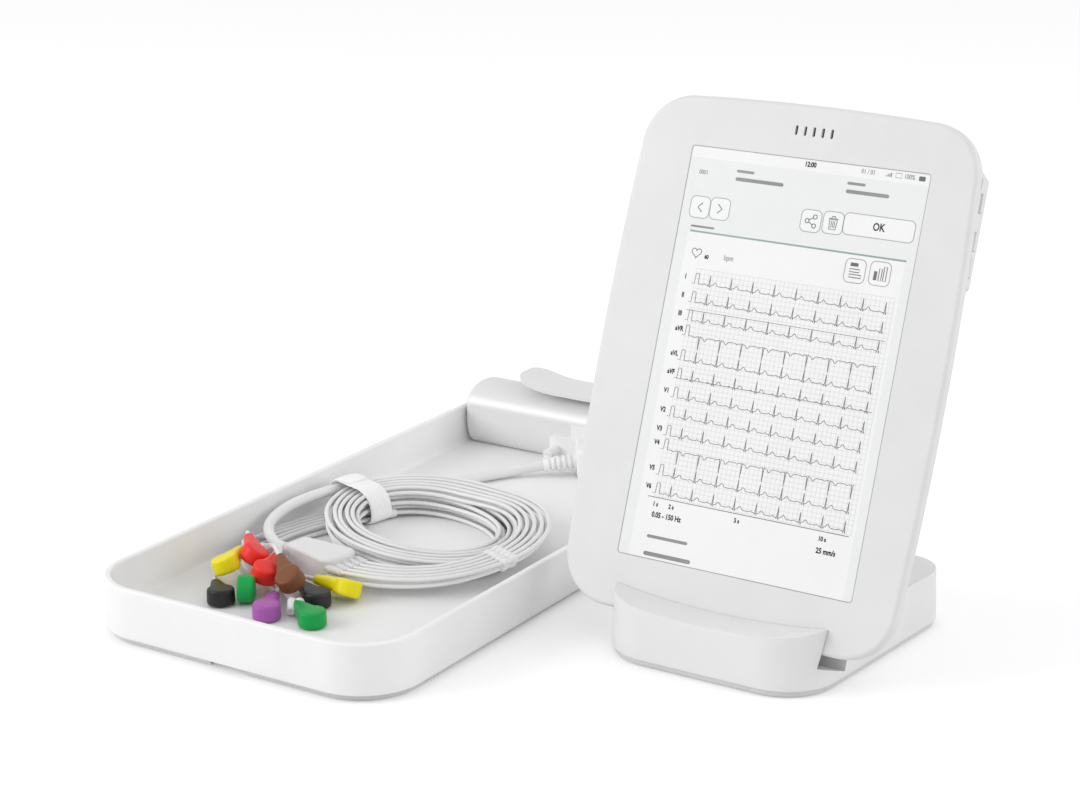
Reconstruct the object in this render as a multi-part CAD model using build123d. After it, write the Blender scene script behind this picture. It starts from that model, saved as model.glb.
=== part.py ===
from build123d import *
import os
from math import cos, pi, radians, sin, sqrt, tan

# A tablet electrocardiograph set: a tablet that leans in its charging dock, and beside it a tray that
# holds the recorder, its trunk cable and splitter, and ten lead wires wound into one tied coil.
# Millimetres. X runs to the right, Y away from the viewer and Z up from the surface the set stands on.
# The origin is on that surface, under the middle of the set.

# The set
SIDE_GAP = 11.1
DOCK_FRONT_Y = -80.5

# Tray
TRAY_WIDTH = 155.2
TRAY_LENGTH = 351.0
TRAY_RIM_Z = 25.1
TRAY_UNDERSIDE_Z = 3.2
TRAY_FLOOR = 2.8
TRAY_WALL = 3.0
TRAY_CORNER = 27.0
TRAY_RIM_ROUND = 0.9
TRAY_FLOOR_ROUND = 2.0
BASE_INSET = 2.4
BASE_RING = 9.0
BASE_LIFT = 0.6
TRAY_FOOT_RADIUS = 6.0
TRAY_FOOT_INSET = 26.0
NOTCH_WIDTH = 18.0

# Tablet
TABLET_WIDTH = 156.0
TABLET_DEPTH = 18.0
TABLET_TILT = 20.0
TABLET_CORNER = 22.0
TABLET_SET_BACK = 14.6
TABLET_FOOT_Z = 16.7
SIDE_BOW = 3.5
TOP_BOW = 2.5
EDGE_DEPTH = 5.0
EDGE_ROUND = 1.8
BACK_INSET = 13.0
SHELL_WALL = 2.0
SCREEN_WIDTH = 107.7
SCREEN_HEIGHT = 172.3
SCREEN_SIDE = 2.5
SCREEN_RAISE = 22.7
SCREEN_TO_TOP = 22.0
TABLET_HEIGHT = SCREEN_RAISE + SCREEN_HEIGHT + SCREEN_TO_TOP
SCREEN_CORNER = 1.5
GLASS_THICKNESS = 1.2
GLASS_SUNK = 0.15
GLASS_GAP = 0.15
PANEL_THICKNESS = 3.0
PANEL_MARGIN = 2.5
FRAME_THICKNESS = 1.2
FRAME_MARGIN = 1.7
BOARD = (100.0, 1.2, 40.0)
BOARD_FROM_TOP = 23.0
BOARD_RAISE = TABLET_HEIGHT - BOARD_FROM_TOP - BOARD[2]
BATTERY_SECTION = (92.0, 5.0)
BATTERY_RAISE = 30.0
BATTERY_TO_BOARD = 6.0
BATTERY_HEIGHT = BOARD_RAISE - BATTERY_TO_BOARD - BATTERY_RAISE
CHIP_HEIGHT = 1.4
CHIPS = ((16.0, 16.0, -30.0), (12.0, 12.0, -5.0), (20.0, 10.0, 22.0))
SPEAKER_WIDTH = 30.0
SPEAKER_HEIGHT = 8.0
SLOT_COUNT = 5
SLOT_PITCH = 4.0
SLOT_SIZE = (1.2, 4.0)
SLOT_FROM_TOP = 11.0
SLOT_RAISE = TABLET_HEIGHT - SLOT_FROM_TOP
POD_FROM_TOP = 14.0
POD_LENGTH = 57.0
POD_HIGH = TABLET_HEIGHT - POD_FROM_TOP
POD_LOW = POD_HIGH - POD_LENGTH
POD_RAMP = 7.0
POD_REACH = 6.5
POD_STEP = 0.7
POD_WALL = 1.6
POD_ROOT = 7.0
BUTTON_SIZE = (2.6, 7.5)
BUTTON_SET_BACK = 2.6
BUTTON_TRAVEL = 0.6
BUTTON_PROUD = 0.8
BUTTON_GAP = 0.15
BUTTON_FLANGE = 1.0
BUTTON_FLANGE_MARGIN = 0.5
BUTTON_ROUND = 0.5
BUTTONS_FROM_TOP = {"power_button": 30.3, "volume_up_button": 45.4, "volume_down_button": 56.1}
PAD_COUNT = 6
PAD_PITCH = 3.0
PAD_SIZE = (2.0, 1.6, 0.4)
PAD_SET_BACK = 3.4
REAR_SCREW_RADIUS = 2.2
REAR_SCREW_SHANK = 1.0
REAR_SCREW_HEAD = 1.1
REAR_SCREW_GAP = 0.1
REAR_SCREW_SPACING = (84.0, 150.0)

# Dock
DOCK_FRONT_HALF = 48.6
DOCK_REAR_HALF = 58.4
DOCK_LENGTH = 118.0
DOCK_FRONT_CORNER = 24.0
DOCK_REAR_CORNER = 16.0
DOCK_DRAFT = 2.5
DOCK_TOP_Z = 25.0
DOCK_UNDERSIDE_Z = 3.0
DOCK_WALL = 2.5
DOCK_EDGE_ROUND = 1.6
LIP_MIDDLE_Z = 23.6
LIP_END_Z = 26.8
SLOT_DROP = 5.6
SLOT_FRONT_GAP = 0.4
SLOT_REAR_GAP = 0.35
CRADLE_GAP = 0.1
CRADLE_HALF = 38.0
CRADLE_DEPTH = 15.0
CONTACT_HALF = 12.0
CONTACT_DEPTH = 4.6
CONTACT_DROP = 0.9
CONTACT_GAP = 0.2
PIN_RADIUS = 0.6
PIN_LENGTH = 4.2
PIN_CLEARANCE = 0.06
PIN_TO_PAD = 0.08
PIN_FLOOR = 0.3
DOCK_BASE_INSET = 1.2
DOCK_FOOT_HEIGHT = 0.6
DOCK_FOOT_SUNK = 0.8
DOCK_FOOT_RADIUS = 5.0
DOCK_FOOT_SPOTS = ((-30.0, 14.0), (30.0, 14.0), (-42.0, 102.0), (42.0, 102.0))
BALLAST = (80.0, 48.0, 5.0)
BALLAST_SET_BACK = 38.0
DOCK_BOARD = (60.0, 16.0, 1.2)
BOARD_STAND = 4.0
BOARD_FROM_REAR = 4.0
BOARD_RIB = 6.0
BOARD_RIB_X = 20.0
BOARD_RIB_END = 2.0
JACK = (9.4, 11.0, 3.6)
JACK_BORE = 1.3
JACK_BORE_DEPTH = 8.0
DOCK_SCREW_RADIUS = 2.6
DOCK_SCREW_SHANK = 1.2
DOCK_SCREW_HEAD = 1.0
DOCK_SCREW_LENGTH = 5.0
DOCK_BOSS_RADIUS = 3.4
DOCK_SCREW_GAP = 0.15
DOCK_SCREW_SPOTS = ((-47.0, 52.0), (47.0, 52.0), (-49.0, 84.0), (49.0, 84.0))

# Recorder, across the far end of the tray
RECORDER_SIDE_GAP = 1.0
RECORDER_LENGTH = TRAY_WIDTH - 2 * (TRAY_WALL + RECORDER_SIDE_GAP)
RECORDER_HEIGHT = 30.0
RECORDER_DEPTH = 42.0
RECORDER_BACK_GAP = 21.0
RECORDER_WALL = 1.8
RECORDER_CURVES = ((5.8, 13.0), (15.5, 10.0), (26.0, 21.5), (6.0, 8.0))
END_CAP = 3.0
END_CAP_ROUND = 2.6
RECORDER_BATTERY = (60.0, 26.0, 8.0)
RECORDER_BATTERY_SET_BACK = 8.0
RECORDER_BOARD = (110.0, 30.0, 1.6)
CLIP_WIDTH = 25.0
CLIP_THICKNESS = 1.6
CLIP_REACH = 82.0
CLIP_FLARE = 24.0
CLIP_FLARE_RISE = 4.8
CLIP_FLARE_SAG = 0.25
CLIP_LIFT = 2.6
CLIP_HINGE_X = 36.0
CLIP_SET_BACK = 2.5
CLIP_CORNER = 9.0
CLIP_PIN_RADIUS = 1.2
CLIP_PIN_CLEARANCE = 0.06
CLIP_BARREL_RADIUS = 2.4
CLIP_BARREL_GAP = 0.4
CLIP_KNUCKLE_SET_BACK = 17.8
CLIP_KNUCKLE = 7.4
CLIP_KNUCKLE_GAP = 0.3
CLIP_EAR = 3.0
CLIP_EAR_FOOT = 9.0
CLIP_EAR_ROOT = 6.0
CLIP_EAR_SEAT = 0.05

# Plug on the recorder's front
PLUG_Z = 13.5
SOCKET_WIDTH = 41.0
SOCKET_HEIGHT = 12.0
SOCKET_DEPTH = 6.8
SOCKET_PROUD = 1.0
SOCKET_CROWN_WIDTH = 20.0
SOCKET_CROWN_HEIGHT = 13.0
SOCKET_HOLE = (18.0, 6.4)
FLANGE_THICKNESS = 3.0
INSERT_GAP = 0.2
INSERT_REACH = 5.0
INSERT_ROOT = 1.0
HOOD_HALF = 10.5
HOOD_HEIGHT = 13.6
HOOD_LENGTH = 17.0
HOOD_SLANT = ((-6.0, 3.0), (4.15, 17.0))
HOOD_ROUND = 1.2
THUMBSCREW_SPACING = 32.6
THUMBSCREW_RADIUS = 2.4
THUMBSCREW_LENGTH = 9.2
THUMBSCREW_SHANK = 1.4
THUMBSCREW_REACH = 4.5
THUMBSCREW_CLEARANCE = 0.08
THUMBSCREW_SEAT = 0.1
THUMBSCREW_SLOT = 0.7
THUMBSCREW_BOTTOM_GAP = 0.3
RELIEF_LENGTH = 16.2
RELIEF_ROOT_RADIUS = 4.0
RELIEF_TIP_RADIUS = 3.2
RELIEF_GROOVE = 0.9
RELIEF_RIBS = 5
RELIEF_DIP = 7.0
RELIEF_SHARE = 0.72
RELIEF_ROOT = 1.0
RELIEF_RIB_SHARE = 0.6
RELIEF_EASE = 0.05

# Trunk cable, then the splitter it ends in. Points on cords are measured from the tray's front left
# outer corner, on the surface the set stands on.
TRUNK_DIAMETER = 5.0
TRUNK_LEAD_OUT = 6.5
TRUNK_ROUTE = [
    (53.6, 251.4, 8.9),
    (47.6, 241.8, 8.9),
    (42.4, 230.6, 9.0),
    (36.6, 219.0, 9.4),
    (30.6, 208.0, 10.6),
    (25.0, 197.4, 12.8),
    (20.4, 187.0, 15.6),
    (17.0, 176.0, 18.0),
    (15.2, 164.5, 19.2),
    (13.0, 153.2, 19.8),
    (10.9, 142.6, 19.6),
    (9.5, 133.6, 18.9),
    (9.4, 125.2, 17.8),
    (10.8, 116.9, 16.6),
    (14.6, 109.9, 15.5),
    (20.1, 104.8, 14.3),
]
SPLITTER_TAIL = (38.0, 99.7)
SPLITTER_ANGLE = -9.5
SPLITTER_LENGTH = 31.0
SPLITTER_TAIL_HALF = 6.2
SPLITTER_HEAD_HALF = 10.6
SPLITTER_BOTTOM_Z = 6.3
SPLITTER_SEAM_Z = 11.0
SPLITTER_TOP_Z = 18.6
SPLITTER_ROUND = 1.6
SPLITTER_TAIL_CORNER = 3.0
SPLITTER_HEAD_CORNER = 5.5
SPLITTER_RELIEF = 5.0
SPLITTER_RELIEF_WALLS = (1.1, 0.5)
LEAD_EXIT_Z = 12.5
LEAD_RELIEF = 5.0
LEAD_RELIEF_RADIUS = 1.6
LEAD_SPREAD = 3.9

# Lead wires: five columns from the inner side of the coil outward and two rows, so ten leads. They
# leave the splitter side by side, cross over the pile and wind down through it in three layers.
LEAD_DIAMETER = 1.9
CORD_LIFT = 0.3
RING_CENTRE = (68.0, 157.0)
RING_INNER = (32.9, 3.5, -55.0, 3.5, -27.0)
RING_PITCH = (3.55, 0.45, 67.0, 0.35, -70.0)
ROW_RISE = 2.15
LAYER_GAP = 0.4
TIE_ANGLE = 167.0
TIE_LIFT = 1.6
TIE_LIFT_SPAN = 90.0
COIL_TURNS = 2.25
STEP_DOWN = (257.0, 347.0)
# Knots of the leads' way in: angle round the ring, radius and height of the middle of the ten, then
# the pitch across, the rise between the rows and how far the upper row stands out.
WAY_IN = (
    (-66.0, 66.0, 12.8, 3.7, 3.4, 0.4),
    (-46.0, 68.0, 14.6, 3.5, 3.0, 0.8),
    (-24.0, 65.0, 17.4, 3.4, 2.6, 1.2),
    (0.0, 57.5, 18.2, 3.4, 2.5, 1.5),
    (26.0, 50.0, 18.2, 3.5, 2.4, 1.7),
    (51.0, 44.5, 18.0, 3.8, 2.3, 1.9),
)

# Cable tie round the coil and the trunk
TIE_WIDTH = 13.0
TIE_THICKNESS = 1.5
TIE_ROUND = 5.0
TIE_SPAN = (30.0, 56.7)
TIE_TOP_Z = 23.7

# Lead clips: where the head's middle is, the way from it to the wire, and the roll of its flat faces
HEAD_RADIUS = 6.1
HEAD_THICKNESS = 7.2
HEAD_ROUND = 1.4
NECK_REACH = 18.0
NECK_RADII = (3.0, 1.7)
CLIP_SOCKET_RADIUS = 2.9
CLIP_SOCKET_BORE = 1.95
CLIP_SOCKET_DEPTH = 2.4
CLIPS = {
    "yellow_chest_clip": ((83.0, 77.5, 12.2), (-0.98, 0.05, 0.0), 25.0),
    "brown_chest_clip": ((64.0, 62.0, 17.4), (-0.78, 0.62, 0.22), -30.0),
    "black_chest_clip": ((75.5, 65.6, 9.9), (-0.86, 0.5, 0.0), 0.0),
    "red_chest_clip": ((47.9, 65.6, 15.8), (-0.35, 0.93, 0.05), 20.0),
    "green_chest_clip": ((87.0, 47.0, 9.9), (-0.87, 0.5, 0.0), 0.0),
    "red_clip": ((34.5, 75.5, 18.2), (-0.72, 0.68, 0.1), 30.0),
    "violet_chest_clip": ((66.0, 43.0, 9.9), (-0.45, 0.89, 0.0), 0.0),
    "yellow_clip": ((27.0, 64.5, 16.0), (-0.3, 0.95, 0.0), -20.0),
    "green_clip": ((47.6, 52.6, 12.6), (-0.53, 0.84, -0.22), 90.0),
    "black_clip": ((39.0, 46.0, 9.9), (-0.72, 0.69, -0.06), 0.0),
}
# The loose ends of the leads, from the tie to their clips, in the clips' order
TAIL_LEAD_OUT = 7.0
TAIL_LEAD_IN = 6.5
TAILS = (
    ((24.6, 137.0, 7.5), (20.6, 121.0, 7.4), (20.6, 106.0, 7.4), (26.8, 94.0, 7.4), (38.6, 86.8, 7.5),
     (51.0, 81.6, 9.6)),
    ((22.8, 137.0, 10.0), (18.8, 121.0, 9.9), (18.6, 107.6, 10.0), (23.0, 96.4, 10.6), (30.5, 89.6, 14.2),
     (38.5, 83.2, 21.2)),
    ((21.2, 137.0, 7.5), (17.3, 121.0, 7.4), (17.4, 106.0, 7.4), (23.0, 92.6, 7.4), (34.0, 84.6, 7.4),
     (46.0, 80.6, 8.0)),
    ((19.6, 137.0, 10.0), (15.5, 121.0, 9.9), (15.2, 108.0, 10.0), (18.6, 98.4, 12.2), (25.6, 94.8, 14.6),
     (33.0, 93.2, 16.6)),
    ((17.8, 137.0, 7.5), (14.0, 121.0, 7.4), (14.2, 106.0, 7.4), (19.4, 90.6, 7.4), (31.0, 81.4, 7.4),
     (46.0, 76.4, 7.4), (58.4, 66.8, 7.8)),
    ((16.4, 137.0, 10.0), (12.2, 121.0, 9.9), (11.2, 108.4, 10.8), (12.6, 98.8, 15.4)),
    ((14.6, 137.0, 7.5), (10.8, 121.0, 7.4), (11.0, 106.0, 7.4), (15.8, 88.2, 7.4), (28.4, 78.6, 7.4),
     (42.0, 74.0, 7.4), (51.0, 69.2, 8.2)),
    ((13.2, 137.0, 10.0), (9.0, 121.0, 9.9), (7.6, 107.0, 10.6), (10.2, 96.4, 13.0)),
    ((11.4, 137.0, 7.5), (7.6, 121.0, 7.4), (7.8, 106.0, 7.4), (12.2, 86.0, 7.4), (23.4, 76.8, 7.4)),
    ((10.0, 137.0, 10.0), (5.4, 121.0, 9.4), (4.5, 106.0, 7.8), (7.4, 88.6, 7.4), (13.0, 73.6, 7.5)),
)

SET_WIDTH = TRAY_WIDTH + SIDE_GAP + TABLET_WIDTH
TRAY_X = (TRAY_WIDTH - SET_WIDTH) / 2
TABLET_X = (SET_WIDTH - TABLET_WIDTH) / 2
TRAY_FLOOR_Z = TRAY_UNDERSIDE_Z + TRAY_FLOOR
CORNER_POINT = Vector(TRAY_X - TRAY_WIDTH / 2, -TRAY_LENGTH / 2, 0)
DOCK_PLACE = Pos(TABLET_X, DOCK_FRONT_Y, 0)
TABLET_PLACE = Pos(TABLET_X, DOCK_FRONT_Y + TABLET_SET_BACK, TABLET_FOOT_Z) * Rot(-TABLET_TILT, 0, 0)
RECORDER_BACK_Y = TRAY_LENGTH / 2 - TRAY_WALL - RECORDER_BACK_GAP
RECORDER_FRONT_Y = RECORDER_BACK_Y - RECORDER_DEPTH
PLUG_PLACE = Pos(TRAY_X, RECORDER_FRONT_Y - SOCKET_PROUD, PLUG_Z)

os.makedirs("parts", exist_ok=True)


def save(node, shape):
    """Write one sub-part."""
    export_step(shape, f"parts/{node}.step")


def block(low, high):
    """A box between two corners."""
    size = [b - a for a, b in zip(low, high)]
    middle = [(a + b) / 2 for a, b in zip(low, high)]
    return Pos(*middle) * Box(*size)


def upright_bar(x, y, low, high, radius):
    """A vertical round bar."""
    return Pos(x, y, (low + high) / 2) * Cylinder(radius, high - low)


def level_slab(sketch, low, high):
    """A flat sketch raised from one height to another."""
    return extrude(Pos(0, 0, low) * sketch, high - low)


# Tray

def tray_outline(inset):
    return RectangleRounded(TRAY_WIDTH - 2 * inset, TRAY_LENGTH - 2 * inset, TRAY_CORNER - inset)


def tray_shell():
    body = level_slab(tray_outline(0), TRAY_UNDERSIDE_Z, TRAY_RIM_Z)
    hollow = level_slab(tray_outline(TRAY_WALL), TRAY_FLOOR_Z, TRAY_RIM_Z + 1)
    shell = body - hollow
    inner_floor = shell.edges().filter_by(lambda edge: edge.bounding_box().max.Z < TRAY_FLOOR_Z + 0.1)
    inner_floor = inner_floor.filter_by(lambda edge: edge.bounding_box().min.Z > TRAY_FLOOR_Z - 0.1)
    shell = fillet(inner_floor, TRAY_FLOOR_ROUND)
    rim = shell.edges().filter_by(lambda edge: edge.bounding_box().min.Z > TRAY_RIM_Z - 0.1)
    shell = fillet(rim, TRAY_RIM_ROUND)
    return Pos(TRAY_X, 0, 0) * shell


def tray_base():
    outer = level_slab(tray_outline(BASE_INSET), BASE_LIFT, TRAY_UNDERSIDE_Z)
    inner = level_slab(tray_outline(BASE_INSET + BASE_RING), BASE_LIFT - 1, TRAY_UNDERSIDE_Z + 1)
    notch_back = -TRAY_LENGTH / 2 + BASE_INSET + BASE_RING + 1
    notch = block((-NOTCH_WIDTH / 2, -TRAY_LENGTH / 2, BASE_LIFT - 1),
                  (NOTCH_WIDTH / 2, notch_back, TRAY_UNDERSIDE_Z + 1))
    return Pos(TRAY_X, 0, 0) * (outer - inner - notch)


def tray_feet():
    across = TRAY_WIDTH / 2 - TRAY_FOOT_INSET
    along = TRAY_LENGTH / 2 - TRAY_FOOT_INSET
    spots = [(x, y) for x in (-across, across) for y in (-along, along)]
    return [upright_bar(TRAY_X + x, y, 0, TRAY_UNDERSIDE_Z, TRAY_FOOT_RADIUS) for x, y in spots]


# Tablet, drawn upright: X across, Y back from its front face and Z up from its lower edge

def tablet_plane(depth):
    return Plane((0, depth, 0), x_dir=(1, 0, 0), z_dir=(0, -1, 0))


def tablet_slab(sketch, depth, thickness):
    return extrude(tablet_plane(depth) * sketch, -thickness)


def tablet_outline(inset):
    """The tablet's face, with bowed sides and top, drawn in by an inset."""
    end_half = TABLET_WIDTH / 2 - SIDE_BOW - inset
    middle_half = TABLET_WIDTH / 2 - inset
    shoulder = TABLET_HEIGHT - TOP_BOW - inset
    middle = TABLET_HEIGHT / 2
    edges = Curve() + [
        Line((-end_half, inset), (end_half, inset)),
        ThreePointArc((end_half, inset), (middle_half, middle), (end_half, shoulder)),
        ThreePointArc((end_half, shoulder), (0, TABLET_HEIGHT - inset), (-end_half, shoulder)),
        ThreePointArc((-end_half, shoulder), (-middle_half, middle), (-end_half, inset)),
    ]
    face = make_face(edges)
    return fillet(face.vertices(), TABLET_CORNER - inset)


def screen_outline(margin):
    width = SCREEN_WIDTH + 2 * margin
    height = SCREEN_HEIGHT + 2 * margin
    corner = SCREEN_CORNER + max(margin, 0)
    return Pos(SCREEN_SIDE, SCREEN_RAISE + SCREEN_HEIGHT / 2) * RectangleRounded(width, height, corner)


PLATE = GLASS_SUNK + GLASS_THICKNESS
PANEL_BACK = PLATE + PANEL_THICKNESS
FRAME_BACK = PANEL_BACK + FRAME_THICKNESS
POD_RAISE = (POD_LOW + POD_HIGH) / 2
POD_BOW = SIDE_BOW * ((2 * POD_RAISE - TABLET_HEIGHT) / TABLET_HEIGHT) ** 2
POD_FACE_X = TABLET_WIDTH / 2 - POD_BOW - POD_STEP
BUTTON_DEPTH = EDGE_DEPTH + BUTTON_SET_BACK
BUTTON_RAISES = {name: TABLET_HEIGHT - below for name, below in BUTTONS_FROM_TOP.items()}


def front_bezel():
    body = tablet_slab(tablet_outline(0), 0, EDGE_DEPTH)
    front_edges = body.edges().filter_by(lambda edge: edge.bounding_box().max.Y < 0.01)
    body = fillet(front_edges, EDGE_ROUND)
    pocket = tablet_slab(tablet_outline(SHELL_WALL), PLATE, EDGE_DEPTH)
    window = tablet_slab(screen_outline(0), -1, PLATE + 2)
    bezel = body - pocket - window
    for number in range(SLOT_COUNT):
        x = SCREEN_SIDE + (number - (SLOT_COUNT - 1) / 2) * SLOT_PITCH
        slot = Pos(x, SLOT_RAISE) * SlotOverall(SLOT_SIZE[1], SLOT_SIZE[0], rotation=90)
        bezel -= tablet_slab(slot, -1, PLATE + 2)
    for pad in contact_pads():
        bezel -= pad
    return bezel


def touch_glass():
    return tablet_slab(screen_outline(-GLASS_GAP), GLASS_SUNK, GLASS_THICKNESS)


def display_panel():
    return tablet_slab(screen_outline(PANEL_MARGIN), PLATE, PANEL_THICKNESS)


def mid_frame():
    return tablet_slab(tablet_outline(SHELL_WALL + FRAME_MARGIN), PANEL_BACK, FRAME_THICKNESS)


def pod_outline():
    root_x = POD_FACE_X - POD_REACH
    low = POD_LOW
    high = POD_HIGH
    points = [
        (root_x - POD_ROOT, low), (root_x, low), (POD_FACE_X, low + POD_RAMP),
        (POD_FACE_X, high - POD_RAMP), (root_x, high), (root_x - POD_ROOT, high),
    ]
    return make_face(Polyline(points, close=True))


def button_bar(height, low_x, high_x, margin):
    """A bar through the pod's wall at a side button's height, grown all round by a margin."""
    deep, tall = BUTTON_SIZE
    return block((low_x, BUTTON_DEPTH - deep / 2 - margin, height - tall / 2 - margin),
                 (high_x, BUTTON_DEPTH + deep / 2 + margin, height + tall / 2 + margin))


def side_button(height):
    """A button with the flange that keeps it in its pod."""
    inner_x = POD_FACE_X - POD_WALL
    cap = button_bar(height, inner_x, POD_FACE_X + BUTTON_PROUD, 0)
    outer_edges = cap.edges().filter_by(lambda edge: edge.bounding_box().min.X > POD_FACE_X)
    return (fillet(outer_edges, BUTTON_ROUND)
            + button_bar(height, inner_x - BUTTON_FLANGE, inner_x, BUTTON_FLANGE_MARGIN))


def rear_screw_spots():
    across = REAR_SCREW_SPACING[0] / 2
    along = REAR_SCREW_SPACING[1] / 2
    middle = TABLET_HEIGHT / 2
    return [(x, middle + z) for x in (-across, across) for z in (-along, along)]


def rear_screw(x, z, gap):
    """A screw sunk in the tablet's back, or with a gap the hole for it."""
    head = Pos(x, z) * Circle(REAR_SCREW_RADIUS + gap)
    shank = Pos(x, z) * Circle(REAR_SCREW_SHANK + gap)
    head_depth = TABLET_DEPTH - REAR_SCREW_HEAD
    return (tablet_slab(head, head_depth, REAR_SCREW_HEAD)
            + tablet_slab(shank, head_depth - SHELL_WALL, SHELL_WALL + 0.1))


def rear_cover():
    rise = TABLET_DEPTH - EDGE_DEPTH
    body = loft([tablet_plane(EDGE_DEPTH) * tablet_outline(0),
                 tablet_plane(TABLET_DEPTH) * tablet_outline(BACK_INSET)], ruled=True)
    slope_wall = SHELL_WALL * sqrt(rise ** 2 + BACK_INSET ** 2) / rise
    inner_inset = slope_wall + BACK_INSET * (rise - SHELL_WALL) / rise
    hollow = loft([tablet_plane(EDGE_DEPTH) * tablet_outline(slope_wall),
                   tablet_plane(TABLET_DEPTH - SHELL_WALL) * tablet_outline(inner_inset)], ruled=True)
    pod = tablet_slab(pod_outline(), EDGE_DEPTH, POD_REACH)
    pod_hollow = tablet_slab(offset(pod_outline(), -POD_WALL, kind=Kind.INTERSECTION),
                             EDGE_DEPTH, POD_REACH - POD_WALL)
    cover = body + pod - hollow - pod_hollow
    for height in BUTTON_RAISES.values():
        cover -= button_bar(height, POD_FACE_X - 2 * POD_WALL, POD_FACE_X + 1, BUTTON_GAP)
    for x, z in rear_screw_spots():
        cover -= rear_screw(x, z, REAR_SCREW_GAP)
    return cover


def tablet_battery():
    wide, deep = BATTERY_SECTION
    return block((-wide / 2, FRAME_BACK, BATTERY_RAISE),
                 (wide / 2, FRAME_BACK + deep, BATTERY_RAISE + BATTERY_HEIGHT))


def mainboard():
    wide, deep, tall = BOARD
    back = FRAME_BACK + deep
    board = block((-wide / 2, FRAME_BACK, BOARD_RAISE), (wide / 2, back, BOARD_RAISE + tall))
    middle = BOARD_RAISE + tall / 2
    for chip_wide, chip_tall, x in CHIPS:
        board += block((x - chip_wide / 2, back, middle - chip_tall / 2),
                       (x + chip_wide / 2, back + CHIP_HEIGHT, middle + chip_tall / 2))
    return board


def speaker():
    return block((SCREEN_SIDE - SPEAKER_WIDTH / 2, PLATE, SLOT_RAISE - SPEAKER_HEIGHT / 2),
                 (SCREEN_SIDE + SPEAKER_WIDTH / 2, PANEL_BACK, SLOT_RAISE + SPEAKER_HEIGHT / 2))


def contact_columns():
    return [(number - (PAD_COUNT - 1) / 2) * PAD_PITCH for number in range(PAD_COUNT)]


def contact_pads():
    wide, deep, tall = PAD_SIZE
    return [block((x - wide / 2, PAD_SET_BACK - deep / 2, 0), (x + wide / 2, PAD_SET_BACK + deep / 2, tall))
            for x in contact_columns()]


def set_tablet(node, shapes):
    """Lean a tablet piece back into its place and write it."""
    placed = [TABLET_PLACE * shape for shape in shapes]
    save(node, placed[0] if len(placed) == 1 else Compound(children=placed))


# Dock, drawn from its front middle: X across, Y back and Z up

def dock_outline(inset):
    """The dock's plan, wider at the rear, drawn in by an inset."""
    front = DOCK_FRONT_HALF - inset
    rear = DOCK_REAR_HALF - inset
    near = inset
    far = DOCK_LENGTH - inset
    face = make_face(Polyline([(-front, near), (front, near), (rear, far), (-rear, far)], close=True))
    front_corners = face.vertices().filter_by(lambda vertex: vertex.Y < DOCK_LENGTH / 2)
    face = fillet(front_corners, DOCK_FRONT_CORNER - inset)
    rear_corners = face.vertices().filter_by(lambda vertex: vertex.Y > DOCK_LENGTH - inset - 0.1)
    return fillet(rear_corners, DOCK_REAR_CORNER - inset)


def dock_prism(inset, low, high):
    """The dock's plan raised with its draft."""
    slope = tan(radians(DOCK_DRAFT))
    low_inset = inset + (low - DOCK_UNDERSIDE_Z) * slope
    high_inset = inset + (high - DOCK_UNDERSIDE_Z) * slope
    return loft([Pos(0, 0, low) * dock_outline(low_inset), Pos(0, 0, high) * dock_outline(high_inset)],
                ruled=True)


TABLET_IN_DOCK = Pos(0, TABLET_SET_BACK, TABLET_FOOT_Z) * Rot(-TABLET_TILT, 0, 0)


def dock_slot(wall):
    """The slot that the tablet leans in, grown by a wall."""
    reach = 2 * DOCK_REAR_HALF
    return TABLET_IN_DOCK * block((-reach, -SLOT_FRONT_GAP - wall, -SLOT_DROP - wall),
                                  (reach, TABLET_DEPTH + SLOT_REAR_GAP + wall, 3 * DOCK_TOP_Z))


def dock_jack_low():
    return DOCK_UNDERSIDE_Z + BOARD_STAND + DOCK_BOARD[2]


def dock_shell():
    slot_middle = TABLET_SET_BACK + TABLET_DEPTH / 2
    rise = LIP_END_Z - LIP_MIDDLE_Z
    scoop_radius = (DOCK_FRONT_HALF ** 2 + rise ** 2) / (2 * rise)
    body = dock_prism(0, DOCK_UNDERSIDE_Z, LIP_END_Z)
    scoop = (Pos(0, slot_middle / 2, LIP_MIDDLE_Z + scoop_radius) * Rot(90, 0, 0)
             * Cylinder(scoop_radius, slot_middle))
    rear_top = block((-DOCK_REAR_HALF, slot_middle, DOCK_TOP_Z),
                     (DOCK_REAR_HALF, DOCK_LENGTH, 3 * DOCK_TOP_Z))
    body = body - scoop - rear_top - dock_slot(0)
    hollow = dock_prism(DOCK_WALL, DOCK_UNDERSIDE_Z, DOCK_TOP_Z - DOCK_WALL)
    lip_top = block((-DOCK_REAR_HALF, 0, LIP_MIDDLE_Z - DOCK_WALL),
                    (DOCK_REAR_HALF, slot_middle, DOCK_TOP_Z))
    hollow = hollow - lip_top - dock_slot(DOCK_WALL)
    for x, y in DOCK_SCREW_SPOTS:
        hollow -= upright_bar(x, y, DOCK_UNDERSIDE_Z - 1, DOCK_TOP_Z, DOCK_BOSS_RADIUS)
    body -= hollow
    screw_top = DOCK_UNDERSIDE_Z + DOCK_SCREW_LENGTH + DOCK_SCREW_GAP
    for x, y in DOCK_SCREW_SPOTS:
        body -= upright_bar(x, y, DOCK_UNDERSIDE_Z - 1, screw_top, DOCK_SCREW_SHANK + DOCK_SCREW_GAP)
    low = dock_jack_low()
    mouth = block((-JACK[0] / 2 - DOCK_SCREW_GAP, DOCK_LENGTH - 3 * DOCK_WALL, low - DOCK_SCREW_GAP),
                  (JACK[0] / 2 + DOCK_SCREW_GAP, DOCK_LENGTH + 1, low + JACK[2] + DOCK_SCREW_GAP))
    return DOCK_PLACE * (body - mouth)


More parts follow.
